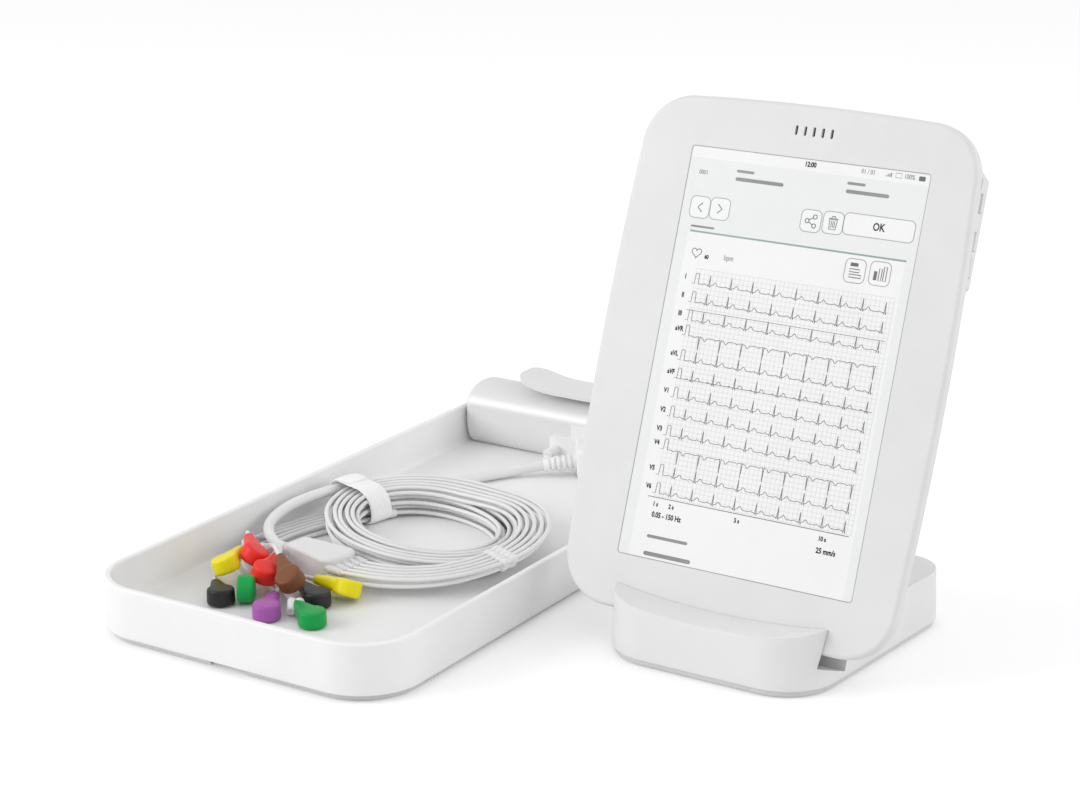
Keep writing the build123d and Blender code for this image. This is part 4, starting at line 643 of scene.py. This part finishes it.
def comb_piece(name, row):
    """A comb whose barrels sit round the five leads of one row."""
    def draw(drawing):
        starts = []
        for column in range(5):
            lead = column * 2 + row
            points = lead_points(lead, list(CLIPS)[lead], column, row)
            spot, heading = line_spot(points, COMB_PLACE)
            start = spot - heading * (COMB_LENGTH * MM / 2)
            turned(drawing, start, heading, barrel_profile(COMB_LENGTH, COMB_RADIUS), 28)
            starts.append((start, heading))
        for (one, heading), (other, _) in zip(starts, starts[1:]):
            draw_web(drawing, one, other, heading, COMB_LENGTH, COMB_WEB)
    return lead_piece(name, draw, SLEEVE)


upper_comb = comb_piece("upper_lead_comb", 1)
lower_comb = comb_piece("lower_lead_comb", 0)


def draw_ferrule(drawing):
    """A plain sleeve on the first lead."""
    points = lead_points(0, "yellow_chest_clip", 0, 0)
    spot, heading = line_spot(points, FERRULE_PLACE)
    profile = [(0.0, 1.15), (0.1, 1.6), (0.8, 1.95), (1.6, 2.05), (7.4, 2.05), (8.6, 1.8),
               (FERRULE_LENGTH, 1.15)]
    turned(drawing, spot - heading * (FERRULE_LENGTH * MM / 2), heading, profile, 32)


ferrule = lead_piece("lead_ferrule", draw_ferrule, SLEEVE)


def draw_loose_comb(drawing, middle, along, across, lanes, pitch, length, radius):
    """A small comb that lies by itself, its short barrels side by side."""
    profile = [(0.6, 0.75), (0.0, 0.8), (0.0, radius - 0.25), (0.25, radius), (length - 0.25, radius),
               (length, radius - 0.25), (length, 0.8), (length - 0.6, 0.75)]
    starts = [middle + across * ((lane - (lanes - 1) / 2) * pitch * MM) - along * (length * MM / 2)
              for lane in range(lanes)]
    for start in starts:
        turned(drawing, start, along, profile, 28)
    for start in starts[:-1]:
        draw_web(drawing, start, start + across * (pitch * MM), along, length, radius * 1.5)


def draw_floor_comb(drawing):
    """The loose comb inside the coil."""
    draw_loose_comb(drawing, from_corner((59.6, 137.6, 7.75)), Vector((0.3, 0.954, 0.0)),
                    Vector((0.954, -0.3, 0.0)), lanes=4, pitch=2.9, length=5.0, radius=1.6)


lead_piece("floor_comb", draw_floor_comb, SLEEVE)


def draw_clip_comb(drawing):
    """The loose comb among the clips."""
    draw_loose_comb(drawing, from_corner((73.2, 53.4, 9.8)), Vector((-0.5, 0.8, 0.33)).normalized(),
                    Vector((0.848, 0.53, 0.0)), lanes=2, pitch=3.1, length=7.0, radius=2.1)


lead_piece("clip_comb", draw_clip_comb, SLEEVE)


# The felt strap round the coil

STRAP_CORNERS = (5.0, 7.5, 3.5, 3.0)
STRAP_CORNER_STEPS = 12
STRAP_SIDE_STEPS = 6
STRAP_TOP_Z = 22.4


def strap_loop(inner, outer, low, high, corners):
    """A rectangle with its own rounding at each corner: distances from the ring's centre and heights."""
    places = ((outer, high, -1, -1, 0), (inner, high, 1, -1, 90), (inner, low, 1, 1, 180),
              (outer, low, -1, 1, 270))
    arcs = []
    for (x, z, inward, upward, start), corner in zip(places, corners):
        turns = [radians(start + 90 * step / STRAP_CORNER_STEPS) for step in range(STRAP_CORNER_STEPS + 1)]
        arcs.append([(x + inward * corner + corner * cos(turn), z + upward * corner + corner * sin(turn))
                     for turn in turns])
    loop = []
    for arc, following in zip(arcs, arcs[1:] + arcs[:1]):
        (x, z), (next_x, next_z) = arc[-1], following[0]
        shares = [part / STRAP_SIDE_STEPS for part in range(1, STRAP_SIDE_STEPS)]
        loop += arc + [(x + (next_x - x) * share, z + (next_z - z) * share) for share in shares]
    return loop


def strap_axes():
    outward = Vector((cos(radians(TIE_ANGLE)), sin(radians(TIE_ANGLE)), 0.0))
    return outward, Vector((outward.y, -outward.x, 0.0))


def draw_strap(drawing):
    """The band: its sides bowed out a little, its rims drawn in, its width wandering."""
    near, far = TIE_SPAN
    low = TRAY_FLOOR_Z + CORD_LIFT / 2
    outward, along = strap_axes()
    half = TIE_WIDTH / 2
    layers = ((-half + 0.3, 0.35), (-half, 0.75), (-half + 0.3, 1.3), (-half + 1.8, 1.5), (0.0, 1.6),
              (half - 1.8, 1.5), (half - 0.3, 1.3), (half, 0.75), (half - 0.3, 0.35), (half - 1.8, 0.1),
              (0.0, 0.05), (-half + 1.8, 0.1))
    rings = []
    for offset, lift in layers:
        corners = [corner + lift for corner in STRAP_CORNERS]
        loop = strap_loop(near + 0.6 - lift, far + lift, low + 1.6 - lift, STRAP_TOP_Z + lift, corners)
        ring = []
        for number, (radius, height) in enumerate(loop):
            turn = 2 * pi * number / len(loop)
            slide = 0.5 * sin(2 * turn + 0.6) + 0.3 * sin(3 * turn)
            lean = 0.09 * (height - TRAY_FLOOR_Z) * (1 if offset > 0 else 0.6)
            ring.append(ring_point(0, 0, 0) + (outward * radius + along * (offset + slide - lean)) * MM
                        + Vector((0.0, 0.0, height)) * MM)
        rings.append(ring)
    skin_rings(drawing, rings, closed_loop=True)


strap = lead_piece("felt_strap", draw_strap, FELT, ("cable_tie",))


def draw_strap_end(drawing):
    """The strap's free end, pressed on over its outer shoulder."""
    outward, along = strap_axes()
    far = TIE_SPAN[1]
    path = [(far + 1.65, 10.0), (far + 1.75, 14.0), (far + 1.65, 18.0), (far + 0.2, 21.7), (far - 3.2, 23.9),
            (far - 7.0, 24.1), (far - 10.5, 24.1), (far - 12.6, 24.1), (far - 13.6, 24.05)]
    half_widths = (6.3, 6.4, 6.4, 6.3, 6.3, 6.2, 6.0, 5.0, 3.2)
    rings = []
    for number, (radius, height) in enumerate(path):
        before = path[max(number - 1, 0)]
        after = path[min(number + 1, len(path) - 1)]
        way = Vector((after[0] - before[0], after[1] - before[1])).normalized()
        outer = outward * way.y - Vector((0.0, 0.0, way.x))
        half = half_widths[number]
        lean = 0.07 * (height - TRAY_FLOOR_Z)
        middle = ring_point(0, 0, 0) + outward * (radius * MM) + Vector((0.0, 0.0, height * MM))
        ring = []
        for wide, lift in ((-1, -0.5), (-1.02, 0.0), (-0.93, 0.5), (-0.5, 0.75), (0, 0.8), (0.5, 0.75),
                           (0.93, 0.5), (1.02, 0.0), (1, -0.5)):
            ring.append(middle + along * ((wide * half - lean) * MM) + outer * (lift * MM))
        rings.append(ring)
    skin_rings(drawing, rings)


strap_end = lead_piece("felt_strap_end", draw_strap_end, FELT)
for soft_piece in (strap, strap_end):
    fuzz = bpy.data.textures.new(soft_piece.name + " fuzz", "CLOUDS")
    fuzz.noise_scale = 0.0012
    finer = soft_piece.modifiers.new("finer", "SUBSURF")
    finer.levels = 2
    finer.render_levels = 2
    nap = soft_piece.modifiers.new("nap", "DISPLACE")
    nap.texture = fuzz
    nap.texture_coords = "LOCAL"
    nap.strength = 0.0003
    nap.mid_level = 0.5


# Cords

for lead, (wire, clip, ring) in enumerate(lead_pieces):
    carried = [clip, ring]
    if lead == 0:
        carried += [ferrule, lower_comb]
    if lead == 1:
        carried.append(upper_comb)


# Screen

def screen_spot(across, up, lift):
    """A spot on the screen, in millimetres from its lower left corner and above its glass."""
    return (TABLET_FOOT + TABLET_ACROSS * ((SCREEN_LEFT + across) * MM)
            + TABLET_UP * ((SCREEN_BOTTOM + up) * MM) + TABLET_BACK * ((GLASS_FACE - lift) * MM))


def box_ring(left, low, right, high):
    return [(left, low), (right, low), (right, high), (left, high)]


def rounded_ring(left, low, right, high, corner, steps=8):
    ring = []
    for x, y, start in ((right - corner, low + corner, -90), (right - corner, high - corner, 0),
                        (left + corner, high - corner, 90), (left + corner, low + corner, 180)):
        for step in range(steps + 1):
            turn = radians(start + 90 * step / steps)
            ring.append((x + corner * cos(turn), y + corner * sin(turn)))
    return ring


def draw_face(drawing, ring, lift):
    drawing.faces.new([drawing.verts.new(screen_spot(x, y, lift)) for x, y in ring])


def draw_patch(drawing, left, low, right, high, lift):
    draw_face(drawing, box_ring(left, low, right, high), lift)


def draw_ribbon(drawing, points, width, lift, closed=False):
    """A line of even width through points on the screen."""
    count = len(points)
    pairs = []
    for number, (x, y) in enumerate(points):
        before = points[number - 1] if number or closed else points[0]
        after = points[(number + 1) % count] if number < count - 1 or closed else points[-1]
        way = Vector((after[0] - before[0], after[1] - before[1])).normalized()
        off = Vector((-way.y, way.x)) * (width / 2)
        pairs.append((drawing.verts.new(screen_spot(x + off.x, y + off.y, lift)),
                      drawing.verts.new(screen_spot(x - off.x, y - off.y, lift))))
    for number in range(count if closed else count - 1):
        (a, b), (c, d) = pairs[number], pairs[(number + 1) % count]
        drawing.faces.new((a, b, d, c))


def screen_piece(name, draw, finish):
    return add_piece(name, mesh_from(name, draw, smooth=False), finish, "tablet")


BAND_LOW = 136.8
BAND_HIGH = 167.3
PAGE_LEFT = 5.3
PAGE_RIGHT = 103.5
EDGE = 0.3

# Heights above the glass, layer by layer
PAGE_LIFT = 0.02
FACE_LIFT = 0.04
BAR_LIFT = 0.05
OUTLINE_LIFT = 0.06
TRACE_LIFT = 0.07
SIGN_LIFT = 0.08


def draw_page(drawing):
    draw_patch(drawing, PAGE_LEFT, EDGE, PAGE_RIGHT, BAND_LOW, PAGE_LIFT)
    draw_patch(drawing, EDGE, BAND_HIGH, SCREEN_WIDTH - EDGE, SCREEN_HEIGHT - EDGE, PAGE_LIFT)


def draw_header(drawing):
    draw_patch(drawing, EDGE, BAND_LOW, SCREEN_WIDTH - EDGE, BAND_HIGH, PAGE_LIFT)


def draw_strips(drawing):
    draw_patch(drawing, EDGE, EDGE, PAGE_LEFT, BAND_LOW, PAGE_LIFT)
    draw_patch(drawing, PAGE_RIGHT, EDGE, SCREEN_WIDTH - EDGE, BAND_LOW, PAGE_LIFT)


# Each button's middle, width and height
BUTTONS = ((8.6, 146.9, 9.0, 9.0), (17.9, 147.2, 9.0, 9.0), (59.6, 147.5, 9.0, 9.0), (69.4, 147.9, 9.0, 9.0),
           (89.5, 148.5, 31.0, 8.8), (82.7, 130.1, 9.0, 9.6), (93.6, 130.4, 9.0, 9.6))
BUTTON_CORNER = 2.2
FRAME_INSET = 0.2
FRAME_CORNER = 1.3
GRID_BOX = (12.5, 102.0, 26.2, 121.6)
GRID_PITCH = 2.05
GRID_LINE = 0.17


def button_boxes():
    return [(x - wide / 2, y - tall / 2, x + wide / 2, y + tall / 2, BUTTON_CORNER)
            for x, y, wide, tall in BUTTONS]


def draw_button_faces(drawing):
    for box in button_boxes():
        draw_face(drawing, rounded_ring(*box), FACE_LIFT)


def draw_outlines(drawing):
    """The buttons' outlines and a thin frame round the screen."""
    for box in button_boxes():
        draw_ribbon(drawing, rounded_ring(*box), 0.35, OUTLINE_LIFT, closed=True)
    right, high = SCREEN_WIDTH - FRAME_INSET, SCREEN_HEIGHT - FRAME_INSET
    frame_ring = rounded_ring(FRAME_INSET, FRAME_INSET, right, high, FRAME_CORNER)
    draw_ribbon(drawing, frame_ring, 0.28, BAR_LIFT, closed=True)


def draw_rules(drawing):
    """The rule under the header."""
    draw_ribbon(drawing, [(6.1, BAND_LOW), (103.8, BAND_LOW)], 0.7, BAR_LIFT)


def draw_grid(drawing):
    """The squared ground under the traces."""
    left, right, low, high = GRID_BOX
    across = round((right - left) / GRID_PITCH)
    for number in range(across + 1):
        x = left + (right - left) * number / across
        draw_ribbon(drawing, [(x, low), (x, high)], GRID_LINE, FACE_LIFT)
    up = round((high - low) / GRID_PITCH)
    for number in range(up + 1):
        y = low + (high - low) * number / up
        draw_ribbon(drawing, [(left, y), (right, y)], GRID_LINE, FACE_LIFT)


# Each trace's height on the screen, and whether its beats point up or down
TRACES = {
    "I": (115.4, 1), "II": (107.7, 1), "III": (100.0, 1),
    "aVR": (93.7, -1), "aVL": (83.3, 1), "aVF": (75.6, 1),
    "V1": (67.6, 1), "V2": (59.6, 1), "V3": (51.6, 1),
    "V4": (45.8, -1), "V5": (35.1, 1), "V6": (27.4, 1),
}
# A beat's waves: size, place from the peak and width
WAVES_UP = ((0.45, -2.3, 0.5), (-0.7, -0.42, 0.12), (4.5, 0.0, 0.15), (-0.9, 0.38, 0.13), (1.4, 2.6, 0.85))
WAVES_DOWN = ((-0.4, -2.3, 0.5), (0.3, -0.42, 0.12), (-5.9, 0.0, 0.15), (0.4, 0.38, 0.13), (-1.4, 2.5, 0.75))
BEAT_PITCH = 9.9
FIRST_BEAT = 19.5
TRACE_START = 14.5
TRACE_END = 99.4
TRACE_STEP = 0.12
TRACE_LINE = 0.24


def trace_height(waves, across):
    """A trace's height above its own line at a place along the screen."""
    phase = (across - FIRST_BEAT + BEAT_PITCH / 2) % BEAT_PITCH - BEAT_PITCH / 2
    return sum(size * exp(-((phase - middle) / width) ** 2) for size, middle, width in waves)


def draw_traces(drawing):
    """Each trace after its square mark, and three long lines."""
    count = int((TRACE_END - TRACE_START) / TRACE_STEP)
    places = [TRACE_START + TRACE_STEP * number for number in range(count + 1)]
    for line, way in TRACES.values():
        waves = WAVES_UP if way > 0 else WAVES_DOWN
        points = [(11.2, line), (12.5, line), (12.7, line + 3.9), (13.0, line + 4.3), (14.0, line + 4.3),
                  (14.2, line + 3.9), (14.35, line)]
        points += [(place, line + trace_height(waves, place)) for place in places]
        draw_ribbon(drawing, points, TRACE_LINE, TRACE_LIFT)
    for left, height, width in ((11.2, 104.2, 0.2), (11.2, 75.6, 0.2), (9.5, 25.6, 0.3)):
        draw_ribbon(drawing, [(left, height), (101.2, height)], width, OUTLINE_LIFT)


ARROWS = (
    [(9.7, 148.8), (7.7, 146.9), (9.7, 145.0)],
    [(16.9, 149.1), (18.9, 147.2), (16.9, 145.3)],
)
SHARE_KNOTS = ((57.9, 147.4), (61.2, 149.3), (61.2, 145.6))
SHARE_RADIUS = 0.85
BIN_LID = ((67.3, 149.6), (71.5, 149.6))
BIN_HANDLE = ((68.5, 149.7), (68.7, 150.5), (70.1, 150.5), (70.3, 149.7))
BIN_BODY = ((67.7, 149.2), (68.0, 145.2), (70.8, 145.2), (71.1, 149.2))
HEART_MIDDLE = (11.0, 128.1)
HEART_SIZE = 0.14
HEART_STEPS = 40
FULL_BARS = ((80.4, 131.9, 83.8, 133.3), (91.0, 127.6, 92.4, 131.2))
OPEN_BARS = ((80.4, 129.6, 84.6, 130.8), (80.4, 127.4, 85.6, 128.6), (93.2, 127.6, 94.4, 132.4),
             (95.2, 127.6, 96.4, 133.4))
ICON_LINE = 0.36
THIN_LINE = 0.3


def draw_share_sign(drawing):
    """Three knots joined by two lines."""
    for x, y in SHARE_KNOTS:
        ring = rounded_ring(x - SHARE_RADIUS, y - SHARE_RADIUS, x + SHARE_RADIUS, y + SHARE_RADIUS,
                            SHARE_RADIUS - 0.01)
        draw_ribbon(drawing, ring, ICON_LINE, SIGN_LIFT, closed=True)
    first = Vector(SHARE_KNOTS[0])
    for knot in SHARE_KNOTS[1:]:
        way = (Vector(knot) - first).normalized() * SHARE_RADIUS
        draw_ribbon(drawing, [first + way, Vector(knot) - way], ICON_LINE, SIGN_LIFT)


def draw_bin_sign(drawing):
    draw_ribbon(drawing, BIN_LID, THIN_LINE, SIGN_LIFT)
    draw_ribbon(drawing, BIN_HANDLE, ICON_LINE, SIGN_LIFT)
    draw_ribbon(drawing, BIN_BODY, ICON_LINE, SIGN_LIFT, closed=True)
    for x in (68.7, 69.4, 70.1):
        draw_ribbon(drawing, [(x, 148.6), (x, 145.9)], THIN_LINE, SIGN_LIFT)


def draw_heart(drawing):
    middle_x, middle_y = HEART_MIDDLE
    heart = []
    for step in range(HEART_STEPS):
        turn = 2 * pi * step / HEART_STEPS
        across = 16 * sin(turn) ** 3
        up = 13 * cos(turn) - 5 * cos(2 * turn) - 2 * cos(3 * turn) - cos(4 * turn)
        heart.append((middle_x + HEART_SIZE * across, middle_y + HEART_SIZE * up))
    draw_ribbon(drawing, heart, THIN_LINE, SIGN_LIFT, closed=True)


def draw_icons(drawing):
    """The small signs on the buttons and the status row."""
    for arrow in ARROWS:
        draw_ribbon(drawing, arrow, 0.42, SIGN_LIFT)
    draw_share_sign(drawing)
    draw_bin_sign(drawing)
    draw_heart(drawing)
    for box in FULL_BARS:
        draw_patch(drawing, *box, SIGN_LIFT)
    for box in OPEN_BARS:
        draw_ribbon(drawing, box_ring(*box), ICON_LINE, SIGN_LIFT, closed=True)
    for number in range(4):
        draw_patch(drawing, 88.4 + 0.7 * number, 169.2, 88.8 + 0.7 * number, 169.7 + 0.4 * number, BAR_LIFT)
    draw_ribbon(drawing, box_ring(92.6, 169.2, 95.2, 171.0), 0.2, BAR_LIFT, closed=True)
    draw_face(drawing, rounded_ring(102.6, 169.0, 105.4, 170.9, 0.4), BAR_LIFT)


# Each bar's left end, middle height, length and thickness
BARS = ((22.5, 163.7, 8.0, 1.1), (22.5, 160.4, 22.0, 1.5), (72.4, 164.6, 8.0, 1.1), (72.4, 161.3, 19.0, 1.5),
        (6.0, 138.9, 11.0, 0.8), (12.4, 9.4, 19.0, 1.3), (12.2, 2.2, 22.0, 1.7))


def draw_bars(drawing):
    """Short grey bars on the page."""
    for left, middle, wide, tall in BARS:
        low, high = middle - tall / 2, middle + tall / 2
        draw_face(drawing, rounded_ring(left, low, left + wide, high, tall * 0.45), BAR_LIFT)


screen_piece("screen_page", draw_page, PAGE)
screen_piece("screen_header_band", draw_header, HEADER)
screen_piece("screen_side_strips", draw_strips, EDGE_STRIP)
screen_piece("screen_button_faces", draw_button_faces, PAGE)
screen_piece("screen_outlines", draw_outlines, OUTLINE)
screen_piece("screen_rules", draw_rules, RULE)
screen_piece("screen_grid", draw_grid, GRID)
screen_piece("screen_traces", draw_traces, TRACE)
screen_piece("screen_icons", draw_icons, TRACE)
screen_piece("screen_name_bars", draw_bars, FAINT)


WORD_NARROWING = 0.8
BOLD_STROKE = 0.0001
FINE_STROKE = 0.00002
# Each word with its middle and its size
BOLD_WORDS = (
    ("OK", 89.5, 148.5, 4.4), ("60", 15.9, 126.8, 2.3), ("12:00", 54.9, 170.0, 2.9),
    ("0.05 - 150 Hz", 19.6, 18.4, 3.1), ("25 mm/s", 92.6, 17.7, 3.1), ("1 s", 13.6, 22.8, 2.6),
    ("2 s", 21.0, 22.8, 2.6), ("5 s", 51.5, 22.7, 2.6), ("10 s", 90.1, 22.5, 2.6),
)
SMALL_WORDS = (
    ("bpm", 26.1, 127.6, 3.2), ("0001", 7.4, 161.4, 2.6), ("100%", 98.6, 170.0, 2.7),
    ("01 / 01", 80.6, 170.0, 2.7),
)


def word_mesh(text, across, up, size, bold, align):
    """A word on the screen as flat faces."""
    curve = bpy.data.curves.new("word", "FONT")
    curve.body = text
    curve.size = size * MM
    curve.align_x = align
    curve.align_y = "CENTER"
    curve.offset = BOLD_STROKE if bold else FINE_STROKE
    curve.resolution_u = 3
    holder = bpy.data.objects.new("word", curve)
    mesh = bpy.data.meshes.new_from_object(holder)
    bpy.data.objects.remove(holder)
    bpy.data.curves.remove(curve)
    place = Matrix((TABLET_ACROSS * WORD_NARROWING, TABLET_UP, -TABLET_BACK)).transposed().to_4x4()
    place.translation = screen_spot(across, up, SIGN_LIFT)
    mesh.transform(place)
    return mesh


def words_piece(name, words, bold, finish, align="CENTER"):
    """Several words joined into one piece."""
    drawing = bmesh.new()
    for text, across, up, size in words:
        mesh = word_mesh(text, across, up, size, bold, align)
        drawing.from_mesh(mesh)
        bpy.data.meshes.remove(mesh)
    joined = bpy.data.meshes.new(name)
    drawing.to_mesh(joined)
    drawing.free()
    return add_piece(name, joined, finish, "tablet")


trace_labels = [(label, 7.7, line + 2.3, 2.8) for label, (line, way) in TRACES.items()]
words_piece("screen_trace_labels", trace_labels, True, INK, "LEFT")
words_piece("screen_bold_words", BOLD_WORDS, True, INK)
words_piece("screen_small_words", SMALL_WORDS, False, FAINT)


# Floor, backdrop and light

FLOOR_GLOW = 0.26
FLOOR_REACH = 6.0
FLOOR_STEPS = 24
FLOOR_DROP = 0.0002
SKY_LOW = 0.8
SKY_HIGH = 0.78
BACKDROP_LEVEL = 1.05
LAMP_AIM = (0.0, 0.0, 0.05)


def floor_finish():
    """A pale matt floor that glows a little towards the camera alone."""
    made = bpy.data.materials.new("pale floor")
    made.use_nodes = True
    nodes = made.node_tree.nodes
    links = made.node_tree.links
    shader = nodes["Principled BSDF"]
    place = nodes.new("ShaderNodeTexCoord")
    noise = nodes.new("ShaderNodeTexNoise")
    set_inputs(noise, {"Scale": 3.0})
    links.new(place.outputs["Object"], noise.inputs["Vector"])
    colour_by(noise, nodes, links, grey(0.8), grey(0.82))
    set_inputs(shader, {"Roughness": 1.0, "Specular IOR Level": 0.0, "Emission Color": (*grey(1.0), 1.0)})
    rays = nodes.new("ShaderNodeLightPath")
    share = nodes.new("ShaderNodeMath")
    share.operation = "MULTIPLY"
    share.inputs[1].default_value = FLOOR_GLOW
    links.new(rays.outputs["Is Camera Ray"], share.inputs[0])
    links.new(share.outputs["Value"], shader.inputs["Emission Strength"])
    return made


def draw_floor(drawing):
    """A round floor in three rings."""
    turns = [2 * pi * step / FLOOR_STEPS for step in range(FLOOR_STEPS)]
    rings = [[drawing.verts.new((radius * cos(turn), radius * sin(turn), 0.0)) for turn in turns]
             for radius in (0.5, 2.0, FLOOR_REACH)]
    drawing.faces.new(rings[0])
    for one, other in zip(rings, rings[1:]):
        for step in range(FLOOR_STEPS):
            after = (step + 1) % FLOOR_STEPS
            drawing.faces.new((one[step], one[after], other[after], other[step]))


floor_mesh = mesh_from("floor", draw_floor, smooth=False)
floor_mesh.materials.append(floor_finish())
floor = shown("floor", floor_mesh)
floor.location = (0.0, 0.0, -FLOOR_DROP)

world = bpy.data.worlds.new("studio")
bpy.context.scene.world = world
world.use_nodes = True
world_nodes = world.node_tree.nodes
world_links = world.node_tree.links
backdrop = world_nodes["Background"]
set_inputs(backdrop, {"Color": (*grey(1.0), 1.0)})
world_rays = world_nodes.new("ShaderNodeLightPath")
seen = world_nodes.new("ShaderNodeMath")
seen.operation = "MAXIMUM"
world_links.new(world_rays.outputs["Is Camera Ray"], seen.inputs[0])
world_links.new(world_rays.outputs["Is Transmission Ray"], seen.inputs[1])
way = world_nodes.new("ShaderNodeTexCoord")
axes = world_nodes.new("ShaderNodeSeparateXYZ")
world_links.new(way.outputs["Generated"], axes.inputs["Vector"])
sky = world_nodes.new("ShaderNodeMapRange")
set_inputs(sky, {"To Min": SKY_LOW, "To Max": SKY_HIGH})
world_links.new(axes.outputs["Z"], sky.inputs["Value"])
level = world_nodes.new("ShaderNodeMapRange")
set_inputs(level, {"To Max": BACKDROP_LEVEL})
world_links.new(seen.outputs["Value"], level.inputs["Value"])
world_links.new(sky.outputs["Result"], level.inputs["To Min"])
world_links.new(level.outputs["Result"], backdrop.inputs["Strength"])


def add_lamp(name, place, width, height, power):
    """A soft rectangular lamp aimed at the object."""
    data = bpy.data.lights.new(name, "AREA")
    data.shape = "RECTANGLE"
    data.size = width
    data.size_y = height
    data.energy = power
    lamp = shown(name, data)
    lamp.location = place
    lamp.rotation_euler = (Vector(LAMP_AIM) - Vector(place)).to_track_quat("-Z", "Y").to_euler()


add_lamp("key lamp", (-1.4, -1.5, 1.0), width=1.3, height=1.1, power=20.0)
add_lamp("side lamp", (1.7, 0.7, 0.9), width=1.2, height=1.0, power=11.0)

# Camera

CAMERA_AZIMUTH = 32.337
CAMERA_ELEVATION = 17.445
CAMERA_PLACE = (0.54656, -0.93101, 0.42039)
CAMERA_LENS = 86.67

camera_data = bpy.data.cameras.new("camera")
camera_data.lens = CAMERA_LENS
camera_data.sensor_width = 36.0
camera_data.sensor_fit = "HORIZONTAL"
camera_data.clip_end = 50.0
camera = shown("camera", camera_data)
camera.location = CAMERA_PLACE
camera.rotation_euler = (radians(90 - CAMERA_ELEVATION), 0.0, radians(CAMERA_AZIMUTH))
bpy.context.scene.camera = camera
bpy.context.scene.view_settings.view_transform = "Standard"
